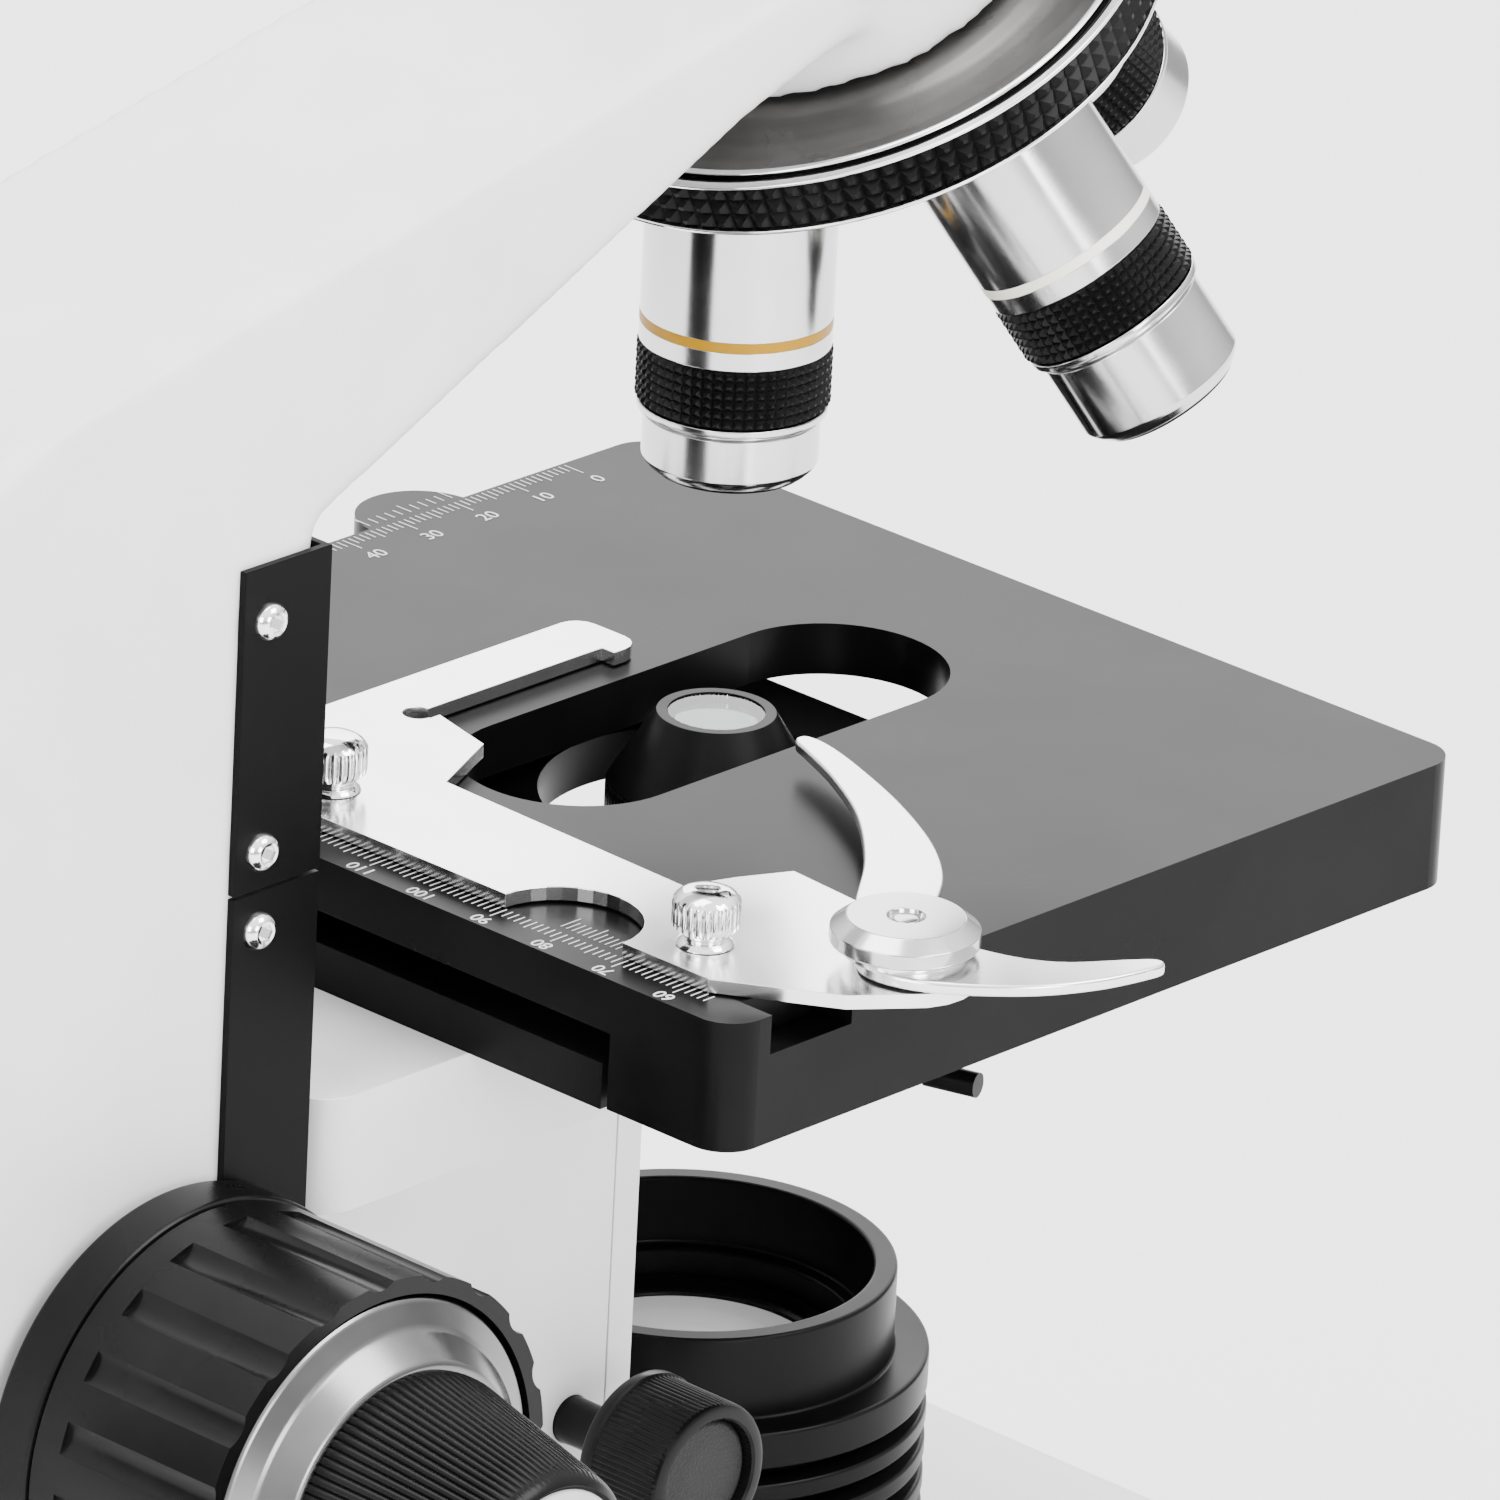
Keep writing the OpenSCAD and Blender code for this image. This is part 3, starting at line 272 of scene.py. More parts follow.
def soft_edges(node, width=0.4, segments=3, angle=30):
    """Rounds a CAD node's edges with modifiers, its own mesh as it was."""
    ob = NODES[node]
    weld = ob.modifiers.new("weld", "WELD")
    weld.merge_threshold = WELD_GAP
    flat = ob.modifiers.new("flat", "DECIMATE")
    flat.decimate_type = "DISSOLVE"
    flat.angle_limit = FLAT_ANGLE
    bevel = ob.modifiers.new("round", "BEVEL")
    bevel.width = width * MM
    bevel.segments = segments
    bevel.limit_method = "ANGLE"
    bevel.angle_limit = math.radians(angle)
    ob.modifiers.new("normals", "WEIGHTED_NORMAL").keep_sharp = True


def cast(node, name, body, voxel, passes):
    """A soft-edged white casting that stands for a CAD node: its own solid, remeshed and relaxed.

    voxel is in millimetres, and more passes give rounder edges.
    """
    source = NODES[node]
    copy = bpy.data.objects.new(name + "_work", source.data.copy())
    bpy.context.scene.collection.objects.link(copy)
    copy.matrix_world = source.matrix_world
    remesh = copy.modifiers.new("remesh", "REMESH")
    remesh.mode = "VOXEL"
    remesh.voxel_size = voxel * MM
    smooth = copy.modifiers.new("relax", "SMOOTH")
    smooth.factor = RELAX
    smooth.iterations = passes
    thin = copy.modifiers.new("thin", "DECIMATE")
    thin.ratio = KEPT_FACES
    mesh = baked(copy)
    mesh.transform(copy.matrix_world)
    bpy.data.objects.remove(copy)
    mesh.shade_smooth()
    piece = new_piece(name, mesh, body, MATERIALS["white_paint"], crisp=False)
    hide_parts(node)


def paint(node, material):
    """Gives a CAD node its material."""
    mesh = NODES[node].data
    for i in range(len(mesh.materials)):
        mesh.materials[i] = material
    if not mesh.materials:
        mesh.materials.append(material)


# ---- Materials ----

def shader(name, color, rough, metal=0.0, coat=0.0, gloss=0.5):
    """A node material and its Principled shader."""
    mat = bpy.data.materials.new(name)
    mat.use_nodes = True
    bsdf = mat.node_tree.nodes["Principled BSDF"]
    bsdf.inputs["Base Color"].default_value = (*color, 1)
    bsdf.inputs["Roughness"].default_value = rough
    bsdf.inputs["Metallic"].default_value = metal
    bsdf.inputs["Coat Weight"].default_value = coat
    bsdf.inputs["Specular IOR Level"].default_value = gloss
    return mat, mat.node_tree, bsdf


def noise(tree, scale, detail=3.0, stretch=(1, 1, 1)):
    """A noise field in the piece's own coordinates. scale is features per metre."""
    coord = tree.nodes.new("ShaderNodeTexCoord")
    place = tree.nodes.new("ShaderNodeMapping")
    place.inputs["Scale"].default_value = stretch
    field = tree.nodes.new("ShaderNodeTexNoise")
    field.inputs["Scale"].default_value = scale
    field.inputs["Detail"].default_value = detail
    tree.links.new(coord.outputs["Object"], place.inputs["Vector"])
    tree.links.new(place.outputs["Vector"], field.inputs["Vector"])
    return field.outputs["Fac"]


def ranged(tree, field, to_min, to_max, from_min=0.3, from_max=0.7):
    """The field mapped to a range of values."""
    span = tree.nodes.new("ShaderNodeMapRange")
    span.inputs["From Min"].default_value = from_min
    span.inputs["From Max"].default_value = from_max
    span.inputs["To Min"].default_value = to_min
    span.inputs["To Max"].default_value = to_max
    tree.links.new(field, span.inputs["Value"])
    return span.outputs["Result"]


def mixed(tree, field, dark, light):
    """A colour that runs from dark to light with the field."""
    ramp = tree.nodes.new("ShaderNodeValToRGB")
    ramp.color_ramp.elements[0].position = 0.3
    ramp.color_ramp.elements[0].color = (*dark, 1)
    ramp.color_ramp.elements[1].position = 0.7
    ramp.color_ramp.elements[1].color = (*light, 1)
    tree.links.new(field, ramp.inputs["Fac"])
    return ramp.outputs["Color"]


def bumped(tree, bsdf, field, height, strength=1.0):
    """Bump of that height in metres on the shader."""
    bump = tree.nodes.new("ShaderNodeBump")
    bump.inputs["Strength"].default_value = strength
    bump.inputs["Distance"].default_value = height
    tree.links.new(field, bump.inputs["Height"])
    tree.links.new(bump.outputs["Normal"], bsdf.inputs["Normal"])


def surface(name, dark, light, rough, metal=0.0, coat=0.0, grain=3000, height=0.00002,
            strength=0.3, blotch=60, stretch=(1, 1, 1), gloss=0.5):
    """A finish with fine grain in its relief, and broad unevenness in colour and gloss."""
    mat, tree, bsdf = shader(name, light, rough[0], metal, coat, gloss)
    broad = noise(tree, blotch, 4.0)
    fine = noise(tree, grain, 3.0, stretch)
    tree.links.new(mixed(tree, broad, dark, light), bsdf.inputs["Base Color"])
    tree.links.new(ranged(tree, broad, rough[0], rough[1]), bsdf.inputs["Roughness"])
    bumped(tree, bsdf, fine, height, strength)
    return mat, bsdf


def turned(bsdf, amount):
    """Stretches a metal's highlights round the piece's own Z axis."""
    tree = bsdf.id_data
    tangent = tree.nodes.new("ShaderNodeTangent")
    tangent.direction_type = "RADIAL"
    tangent.axis = "Z"
    tree.links.new(tangent.outputs["Tangent"], bsdf.inputs["Tangent"])
    bsdf.inputs["Anisotropic"].default_value = amount


def grey(v, tint=0.0):
    return (v * (1 + tint), v, v * (1 - tint))


def make_materials():
    """All finishes by name."""
    m = {}
    m["white_paint"] = surface("white_powder_coat", grey(0.72), grey(0.78), (0.38, 0.46),
                               grain=1500, height=0.00006, strength=0.25)[0]
    m["black_paint"] = surface("satin_black_enamel", grey(0.002), grey(0.004), (0.3, 0.38),
                               grain=2600, height=0.00002, strength=0.12, gloss=0.08)[0]
    m["stage_paint"] = surface("stage_enamel", grey(0.002), grey(0.004), (0.27, 0.32),
                               grain=3500, height=0.00001, strength=0.06, gloss=0.07)[0]
    m["cover_paint"] = surface("cover_enamel", grey(0.002), grey(0.003), (0.33, 0.4),
                               grain=2200, height=0.00003, strength=0.15, gloss=0.05)[0]
    m["dish_steel"], bsdf = surface("turned_steel", grey(0.14), grey(0.20), (0.18, 0.24), metal=1.0,
                                    grain=90, height=0.00001, strength=0.1)
    turned(bsdf, 0.7)
    m["black_plastic"] = surface("moulded_black_plastic", grey(0.002), grey(0.005), (0.24, 0.32),
                                 grain=2200, height=0.00003, strength=0.12, gloss=0.12)[0]
    m["rough_plastic"] = surface("pebbled_black_plastic", grey(0.004), grey(0.009), (0.45, 0.55),
                                 grain=2600, height=0.0002, strength=0.9, gloss=0.25)[0]
    m["opal"], bsdf = surface("opal_lens_painted_glow", grey(0.8), grey(0.88), (0.1, 0.16), coat=0.6, grain=900,
                              height=0.00001, strength=0.05)
    # Painted glow: a faint white emission makes the lens shine as if lit, though the lamp below it is
    # not on
    bsdf.inputs["Emission Color"].default_value = (1, 1, 1, 1)
    bsdf.inputs["Emission Strength"].default_value = 0.25
    m["knurl_black"] = surface("black_anodised_knurl", grey(0.002), grey(0.005), (0.26, 0.34),
                               grain=4000, height=0.00001, strength=0.1, gloss=0.1)[0]
    m["chrome"] = surface("bright_chrome", grey(0.82), grey(0.9), (0.07, 0.13), metal=1.0,
                          grain=900, height=0.00001, strength=0.1)[0]
    m["holder_chrome"] = surface("satin_chrome", grey(0.80), grey(0.9), (0.16, 0.24), metal=1.0,
                                 grain=1800, height=0.00001, strength=0.15)[0]
    m["barrel"] = surface("turned_chrome", grey(0.52), grey(0.64), (0.12, 0.2), metal=1.0,
                          grain=60, height=0.00002, strength=0.12, stretch=(1, 1, 260))[0]
    m["steel"] = surface("brushed_steel", grey(0.42), grey(0.55), (0.24, 0.34), metal=1.0,
                         grain=60, height=0.00003, strength=0.25, stretch=(1, 1, 180))[0]
    m["dark_steel"], bsdf = surface("brushed_dark_steel", grey(0.06, 0.03), grey(0.12, 0.03),
                                    (0.2, 0.3), metal=1.0, grain=240, height=0.00002, strength=0.2,
                                    stretch=(8, 1, 1))
    turned(bsdf, 0.5)
    m["brass"] = surface("machined_brass", (0.55, 0.38, 0.14), (0.7, 0.5, 0.22), (0.25, 0.35),
                         metal=1.0)[0]
    m["aluminium"] = surface("machined_aluminium", grey(0.6), grey(0.7), (0.3, 0.4), metal=1.0)[0]
    m["rubber"] = surface("soft_rubber", grey(0.012), grey(0.025), (0.6, 0.75), grain=1800,
                          height=0.00006, strength=0.4)[0]
    m["board"] = surface("circuit_board", (0.01, 0.10, 0.04), (0.02, 0.16, 0.06), (0.3, 0.4))[0]
    m["cap_grey"] = surface("pale_cap", grey(0.42), grey(0.5), (0.35, 0.45))[0]
    m["print_white"] = surface("white_print", grey(0.6), grey(0.72), (0.5, 0.6))[0]
    m["ring_yellow"] = surface("yellow_ring", (0.38, 0.19, 0.0), (0.44, 0.225, 0.0), (0.3, 0.4),
                               gloss=0.2)[0]
    m["ring_white"] = surface("white_ring", (0.82, 0.8, 0.7), (0.9, 0.88, 0.78), (0.3, 0.4))[0]
    m["ring_red"] = surface("red_ring", (0.5, 0.02, 0.01), (0.65, 0.03, 0.02), (0.3, 0.4))[0]
    m["ring_blue"] = surface("blue_ring", (0.02, 0.12, 0.5), (0.03, 0.17, 0.6), (0.3, 0.4))[0]
    m["glass"] = make_glass("coated_glass", (0.86, 0.93, 0.95), 0.03)
    return m


def make_glass(name, color, rough):
    """Clear or frosted glass."""
    mat, tree, bsdf = shader(name, color, rough)
    bsdf.inputs["Transmission Weight"].default_value = 1.0
    bsdf.inputs["IOR"].default_value = 1.5
    field = noise(tree, 300, 2.0)
    tree.links.new(ranged(tree, field, rough * 0.8, rough * 1.2), bsdf.inputs["Roughness"])
    return mat


MATERIALS = make_materials()


# ---- Nosepiece and objectives ----

# All in millimetres. The turret's heights are below its apex, on its own axis
RING_R = (high("turret").x - low("turret").x) / 2 / MM
RING_TOP = 29.0
RING_LOW = 36.5
FLOOR = 30.1

# Along an objective, below its shoulder
BARREL_R = 11.8
STRIPE_TOP = -18.6
STRIPE_LOW = -19.9
GRIP_TOP = -22.5
GRIP_LOW = -30.0


def station(index):
    """Frame of one objective: +Z back up its axis, origin at its shoulder."""
    spin = Matrix.Rotation(math.radians(90 * index), 4, "Z")
    tip = Matrix.Rotation(TILT, 4, "X")
    return TURRET_FRAME @ spin @ tip @ Matrix.Translation((0, 0, -seat_length() * MM))


def seat_length():
    """Distance in millimetres from the turret's apex to an objective's shoulder."""
    slope = math.tan(TILT)
    rho = (RING_LOW + (RING_R - 3) * slope) / (1 / slope + slope)
    return rho / math.sin(TILT)


def make_turret():
    """The rotating turret: a knurled ring between two bright rims, over a coned body."""
    slope = math.tan(TILT)
    face = RING_LOW + 0.6 + (RING_R - 11) * slope
    wall = RING_R - 1.3
    body = rounded([(0, -FLOOR), (wall - 0.4, -FLOOR), (wall - 0.2, -RING_TOP),
                    (wall + 0.2, -RING_TOP), (wall, -RING_LOW), (RING_R - 3, -RING_LOW - 0.6),
                    (8, -face), (0, -face)], 0.2)
    core = new_piece("turret_core", lathe("turret_core", body, DISC_SEGMENTS), "turret",
                     MATERIALS["knurl_black"], TURRET_FRAME)
    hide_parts("turret")
    grip = knurl("turret_knurl", RING_R - 0.05, -RING_LOW + 0.5, -RING_TOP - 0.5, 105, 3, 0.95)
    new_piece("turret_knurl", grip, "turret", MATERIALS["knurl_black"], TURRET_FRAME)
    for name, z in (("turret_rim_top", -RING_TOP - 0.5), ("turret_rim_bottom", -RING_LOW)):
        rim = rounded([(RING_R - 1.2, z), (RING_R - 0.1, z), (RING_R - 0.1, z + 0.55),
                       (RING_R - 1.2, z + 0.55), (RING_R - 1.2, z)], 0.2)
        new_piece(name, lathe(name, rim, DISC_SEGMENTS), "turret", MATERIALS["chrome"],
                  TURRET_FRAME)
    for i in range(4):
        collar = rounded([(9, -0.1), (BARREL_R + 0.3, -0.1), (BARREL_R + 0.3, 0.9), (9, 0.9),
                          (9, -0.1)], 0.2)
        name = "turret_seat_%d" % i
        new_piece(name, lathe(name, collar, 96), "turret", MATERIALS["dark_steel"],
                  station(i))
    screw = rounded([(0, -face - 1.6), (5.2, -face - 1.6), (6, -face - 1), (6, -face + 0.2),
                     (0, -face + 0.2)], 0.2)
    new_piece("turret_pivot_head", lathe("turret_pivot_head", screw, 64), "turret",
              MATERIALS["steel"], TURRET_FRAME)


def make_dome():
    """The fixed, dished upper half of the nosepiece, with a bright lip."""
    bowl = [(0, -27.1), (28.4, -27.1), (29.8, -27.4), (31.6, -28.2), (33.6, -28.75), (36.0, -28.9),
            (38.0, -28.6), (38.6, -28.8), (38.7, -FLOOR + 0.2), (0, -FLOOR + 0.2), (0, -27.1)]
    dish = lathe("nosepiece_dome_dish", rounded(bowl, 0.6), DISC_SEGMENTS)
    dome = new_piece("nosepiece_dome_dish", dish, "root", MATERIALS["dark_steel"],
                     TURRET_FRAME)
    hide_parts("nosepiece_dome")
    trim = [(37.9, -28.6), (38.4, -28.3), (38.9, -28.5), (38.95, -29.4), (37.9, -29.4),
            (37.9, -28.6)]
    lip = lathe("nosepiece_dome_trim", rounded(trim, 0.2), DISC_SEGMENTS)
    new_piece("nosepiece_dome_trim", lip, "root", MATERIALS["chrome"], TURRET_FRAME)


def make_objective(node, index, ring, length, nose_r, nose_l):
    """One objective, from its shoulder down: barrel, colour ring, knurled band, nose."""
    place = station(index)
    r = BARREL_R
    barrel = [(6, 0.4), (r - 0.2, 0.4), (r, 0), (r, STRIPE_TOP), (r - 0.15, STRIPE_TOP),
              (r - 0.15, STRIPE_LOW), (r, STRIPE_LOW), (r, -22.3), (r - 1.0, GRIP_TOP),
              (r - 1.0, GRIP_LOW), (r - 0.1, -30.1), (r - 0.1, -31.0), (r - 1.5, -31.1),
              (r - 1.5, -31.7), (r - 0.95, -31.8), (r - 0.95, -length + nose_l + 0.6),
              (r - 1.3, -length + nose_l), (nose_r + 0.2, -length + 0.5), (nose_r - 0.2, -length + 0.4),
              (6, -length + 0.4), (6, 0.4)]
    shell = new_piece(node + "_barrel", lathe(node + "_barrel", rounded(barrel, 0.15), 128), "turret",
                      MATERIALS["barrel"], place)
    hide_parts(node)
    band = [(r - 0.6, STRIPE_TOP), (r + 0.02, STRIPE_TOP), (r + 0.02, STRIPE_LOW),
            (r - 0.6, STRIPE_LOW), (r - 0.6, STRIPE_TOP)]
    new_piece(node + "_ring", lathe(node + "_ring", rounded(band, 0.1), 128), "turret",
              MATERIALS[ring], place)
    grip = knurl(node + "_knurl", r + 0.18, GRIP_LOW + 0.1, GRIP_TOP, 54, 6, 0.55)
    new_piece(node + "_knurl", grip, "turret", MATERIALS["knurl_black"], place)
    bezel = [(nose_r - 2.2, -length + 1.2), (nose_r - 2.2, -length), (nose_r - 0.4, -length),
             (nose_r - 0.1, -length + 0.5), (nose_r - 0.1, -length + 1.2), (nose_r - 2.2, -length + 1.2)]
    new_piece(node + "_bezel", lathe(node + "_bezel", rounded(bezel, 0.15), 96), "turret",
              MATERIALS["knurl_black"], place)


def make_objectives():
    ten = (APEX.z - low("objective_10x").z) / MM - seat_length()
    make_objective("objective_4x", 3, "ring_red", 33.5, 9.6, 1.2)
    make_objective("objective_10x", 0, "ring_yellow", ten, 9.6, 1.2)
    make_objective("objective_40x", 2, "ring_blue", ten + 4.6, 6.0, 5.0)
    make_objective("objective_100x", 1, "ring_white", ten + 4.6, 9.3, 1.6)


# ---- Focus knobs ----

def side_frame(side, x):
    """Frame at a knob's inner face: +Z outwards along X."""
    return along((side * x, FOCUS.y, FOCUS.z), (side, 0, 0), (0, 1, 0))


def ribbed(count, depth, z_from, z_to):
    """A wave for lathe(): round-topped ribs between two heights."""
    def wave(angle, r, z):
        if not z_from <= z <= z_to:
            return r
        return r - depth * (1 - abs(math.cos(angle * count / 2)) ** 0.6)
    return wave


def make_fine_knobs():
    """Fine knobs: a dished steel disc, a ribbed tapered grip and a pale end cap."""
    for side, node in ((-1, "fine_knob_left"), (1, "fine_knob_right")):
        inner = min(abs(low(node).x), abs(high(node).x)) / MM + 3.6
        outer = max(abs(low(node).x), abs(high(node).x)) / MM
        length = outer - inner
        rim = (high(node).y - low(node).y) / 2 / MM
        place = side_frame(side, inner * MM)
        dish = rounded([(3, -3.4), (rim, -3.4), (rim, -0.7), (rim - 0.5, -0.1), (rim - 3.5, 1.3),
                        (19.4, 4.9), (17, 5.1), (3, 5.1)], 0.6)
        disc = new_piece(node + "_dish", lathe(node + "_dish", dish, DISC_SEGMENTS), "fine_drive",
                         MATERIALS["dish_steel"], place)
        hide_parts(node)
        grip = [(3, 4.8), (18.6, 4.8), (18.6, 6.2)]
        steps = 12
        for i in range(1, steps):
            t = i / steps
            grip.append((18.6 - 4.3 * t, 6.2 + (length - 9.4) * t))
        grip += [(14.1, length - 2.8), (13.4, length - 1.6), (12.6, length - 1.2),
                 (12.2, length - 1.6), (3, length - 1.8)]
        wave = ribbed(96, 0.42, 4.0, length - 3.1)
        new_piece(node + "_grip", lathe(node + "_grip", grip, 768, wave), "fine_drive",
                  MATERIALS["black_plastic"], place)
        cap = rounded([(0, length - 2.4), (12.0, length - 2.4), (12.1, length - 1.2),
                       (11.2, length - 0.5), (7, length - 0.1), (0, length)], 0.5)
        new_piece(node + "_cap", lathe(node + "_cap", cap, 96), "fine_drive",
                  MATERIALS["cap_grey"], place)


# ---- Small metalwork ----

def make_cover_screws():
    """Button heads with a six-sided socket, in the arm's cover plates."""
    socket = 1.15

    def hexagon(angle, r, z):
        if r > socket:
            return r
        return r * 0.9 / math.cos((angle + math.pi / 6) % (math.pi / 3) - math.pi / 6)

    profile = [(0, 0.35), (socket, 0.35), (socket, 1.35), (1.45, 1.42), (1.9, 1.2), (2.25, 0.7),
               (2.4, 0.1), (2.4, -0.3), (1.4, -0.3), (1.4, -5.6), (0, -5.6)]
    head = lathe("cover_screw", profile, 72, hexagon)
    parts = []
    face = high("upper_cover").x
    for a, b in islands("cover_screws"):
        side = 1 if b.x > 0 else -1
        spot = (side * face, (a.y + b.y) / 2, (a.z + b.z) / 2)
        parts.append((head, along(spot, (side, 0, 0), (0, 0, 1))))
    piece = new_piece("cover_screw_heads", gathered("cover_screw_heads", parts), "root",
                      MATERIALS["chrome"])
    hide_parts("cover_screws")


def make_thumb_screws():
    """Two fluted thumb screws with domed tops, which hold the specimen holder."""
    profile = [(0, -6.6), (1.8, -6.6), (1.8, 0.1), (3.5, 0.1), (3.3, 0.5), (2.7, 0.9), (2.7, 1.2),
               (3.0, 1.5), (3.0, 1.9), (3.6, 2.0), (4.1, 2.5), (4.15, 3.2), (4.15, 4.6),
               (4.15, 5.6), (4.05, 5.9),
               (3.5, 6.5), (2.6, 6.95), (1.4, 7.2), (0, 7.25)]
    screw = lathe("thumb_screw", profile, 288, ribbed(24, 0.5, 2.3, 5.8))
    top = high("specimen_holder").z
    parts = [(screw, Matrix.Translation(((a.x + b.x) / 2, (a.y + b.y) / 2, top)))
             for a, b in islands("holder_screws")]
    piece = new_piece("holder_thumb_screws", gathered("holder_thumb_screws", parts), "cross_slide",
                      MATERIALS["chrome"])
    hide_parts("holder_screws")


# In millimetres from the optical axis, seen from above
CLIP_OUTLINE = [(-18.6, 5.6), (-19.4, 4.3), (-23, 4.4), (-30, 6.6), (-41, 11.2), (-52, 17.4),
                (-60, 24.2), (-66.6, 33), (-72, 37), (-79.5, 36), (-86, 32.4), (-91, 25.4),
                (-93, 23), (-94.5, 23.1), (-94.7, 25.4),
                (-92.8, 33), (-88.4, 41), (-80, 49), (-72, 51), (-65.5, 46), (-58, 37.6), (-50, 27.4),
                (-40, 18), (-30, 11.6), (-22, 7.8), (-19.6, 6.8)]

CLIP_THICKNESS = 1.5 * MM
CLIP_TEETH = 30
TOOTH_R = 0.22 * MM
TOOTH_LENGTH = 1.0 * MM


def make_clip():
    """The curved slide clip with its filed thumb edge, and the low hub that it turns on."""
    under = low("slide_clip").z
    top = under + CLIP_THICKNESS
    outline = [AXIS.xy + p * MM for p in curved([Vector(p) for p in CLIP_OUTLINE])]
    blade = new_piece("slide_clip_blade", plate("slide_clip_blade", outline, under, top), "clip",
                      MATERIALS["holder_chrome"])
    edge = blade.modifiers.new("round", "BEVEL")
    edge.width = 0.35 * MM
    edge.segments = 3
    edge.angle_limit = math.radians(50)
    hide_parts("slide_clip")
    teeth = bmesh.new()
    back = [Vector(p) for p in ((-94.6, 25.6), (-92.4, 33), (-88.0, 41))]
    for k in range(CLIP_TEETH):
        t = k / (CLIP_TEETH - 1)
        p = back[0] * (1 - t) ** 2 + back[1] * 2 * t * (1 - t) + back[2] * t * t
        n = ((back[1] - back[0]) * (1 - t) + (back[2] - back[1]) * t).normalized()
        made = bmesh.ops.create_cone(teeth, cap_ends=True, segments=8, radius1=TOOTH_R,
                                     radius2=TOOTH_R, depth=TOOTH_LENGTH)["verts"]
        place = AXIS.xy + (p + Vector((n.y, -n.x)) * 0.05) * MM
        bmesh.ops.translate(teeth, verts=made, vec=(place.x, place.y, (under + top) / 2))
    new_piece("slide_clip_teeth", mesh_from("slide_clip_teeth", teeth), "clip",
              MATERIALS["holder_chrome"])
    centre = middle("clip_pivot")
    seat = Matrix.Translation((centre.x, centre.y, top))
    washer = rounded([(0, -0.2), (7.4, -0.2), (7.4, 0.9), (0, 0.9)], 0.15)
    new_piece("slide_clip_washer", lathe("slide_clip_washer", washer, 96), "clip",
              MATERIALS["chrome"], seat)
    hub = rounded([(0, 1.0), (8.6, 1.0), (9.0, 1.3), (9.0, 3.0), (7.1, 4.45), (2.3, 4.45),
                   (2.1, 3.6), (1.6, 3.5), (1.5, 4.1), (0, 4.1)], 0.12)
    piece = new_piece("clip_hub", lathe("clip_hub", hub, 128), "cross_slide",
                      MATERIALS["barrel"], seat)
    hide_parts("clip_pivot")


def make_lamp_lens():
    """An opal lens low in the lamp's well, with a painted glow, in a black retaining ring."""
    seat = Matrix.Translation((AXIS.x, AXIS.y, low("field_lens").z))
    edge = (high("field_lens").x - low("field_lens").x) / 2 / MM - 0.1
    dome = rounded([(0, 0), (17.6, 0), (17.6, 5.2), (13, 5.6), (7, 5.9), (0, 6.0)], 0.3)
    lens = new_piece("field_lens_opal", lathe("field_lens_opal", dome, 128), "root",
                     MATERIALS["opal"], seat)
    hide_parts("field_lens")
    ring = rounded([(17.4, 1), (17.4, 5.5), (18.0, 6.1), (19.4, 6.4), (edge - 0.5, 6.7),
                    (edge, 6.2), (edge, 1), (17.4, 1)], 0.3)
    new_piece("field_lens_ring", lathe("field_lens_ring", ring, 128), "root",
              MATERIALS["black_plastic"], seat)


def make_condenser_knob():
    """The condenser's focus knob: a flange, a finely ribbed grip and a pebbled cap."""
    centre = middle("condenser_knob")
    outer = low("condenser_knob").x
    place = along((outer, centre.y, centre.z), (-1, 0, 0), (0, 0, 1))
    grip = [(3.1, -12.4), (9.9, -12.4), (10.1, -12.1), (10.1, -10.9), (9.8, -10.6), (9.8, -10.4),
            (9.8, -5), (9.8, -0.8), (9.75, -0.6), (9.5, -0.2), (9.0, 0), (8.0, 0), (7.7, -0.3),
            (7.6, -1.9), (3.1, -1.9), (3.1, -12.4)]
    ribs = ribbed(80, 0.3, -10.5, -0.7)
    knob = new_piece("condenser_knob_grip", lathe("condenser_knob_grip", grip, 560, ribs),
                     "condenser_drive", MATERIALS["black_plastic"], place)
    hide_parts("condenser_knob")
    cap = rounded([(0, -2.4), (7.5, -2.4), (7.5, -1.7), (6.9, -1.1), (4, -0.8), (0, -0.7)], 0.4)
    new_piece("condenser_knob_cap", lathe("condenser_knob_cap", cap, 96), "condenser_drive",
              MATERIALS["rough_plastic"], place)
    reach = (high("condenser_knob").x - low("condenser_knob").x) / MM
    shaft = rounded([(0, -reach), (3.0, -reach), (3.0, -2.2), (0, -2.2)], 0.2)
    new_piece("condenser_knob_shaft", lathe("condenser_knob_shaft", shaft, 64), "condenser_drive",
              MATERIALS["black_plastic"], place)


def make_condenser_grip():
    """The finely ribbed band round the condenser's top mount."""
    seat = Matrix.Translation(AXIS)
    band = [(11.5, -14.9), (13.1, -14.9), (13.25, -14.7), (13.25, -12), (13.25, -9.9),
            (13.1, -9.6), (11.5, -9.3), (11.5, -14.9)]
    ribs = ribbed(90, 0.3, -14.8, -9.8)
    new_piece("condenser_grip", lathe("condenser_grip", band, 540, ribs), "condenser_lift",
              MATERIALS["knurl_black"], seat)


# ---- Scales ----

# The upper stage's right edge, without the round vernier block that stands out from it
STAGE_EDGE_X = -low("upper_stage").x

# In metres: a tick's width and depth, the height of its top above the stage, how far below
# that top a number's middle lies, and half of a number's depth
TICK_WIDTH = 0.00014
TICK_DEPTH = 0.00012
PRINT_LIFT = 0.00005
NUMBER_SINK = 0.00003
NUMBER_HALF = 0.00004
VERNIER_TICKS = 11


def tick_length(n, tens, fives, ones):
    """The length of a scale's nth tick, of the three lengths given."""
    return tens if n % 10 == 0 else fives if n % 5 == 0 else ones


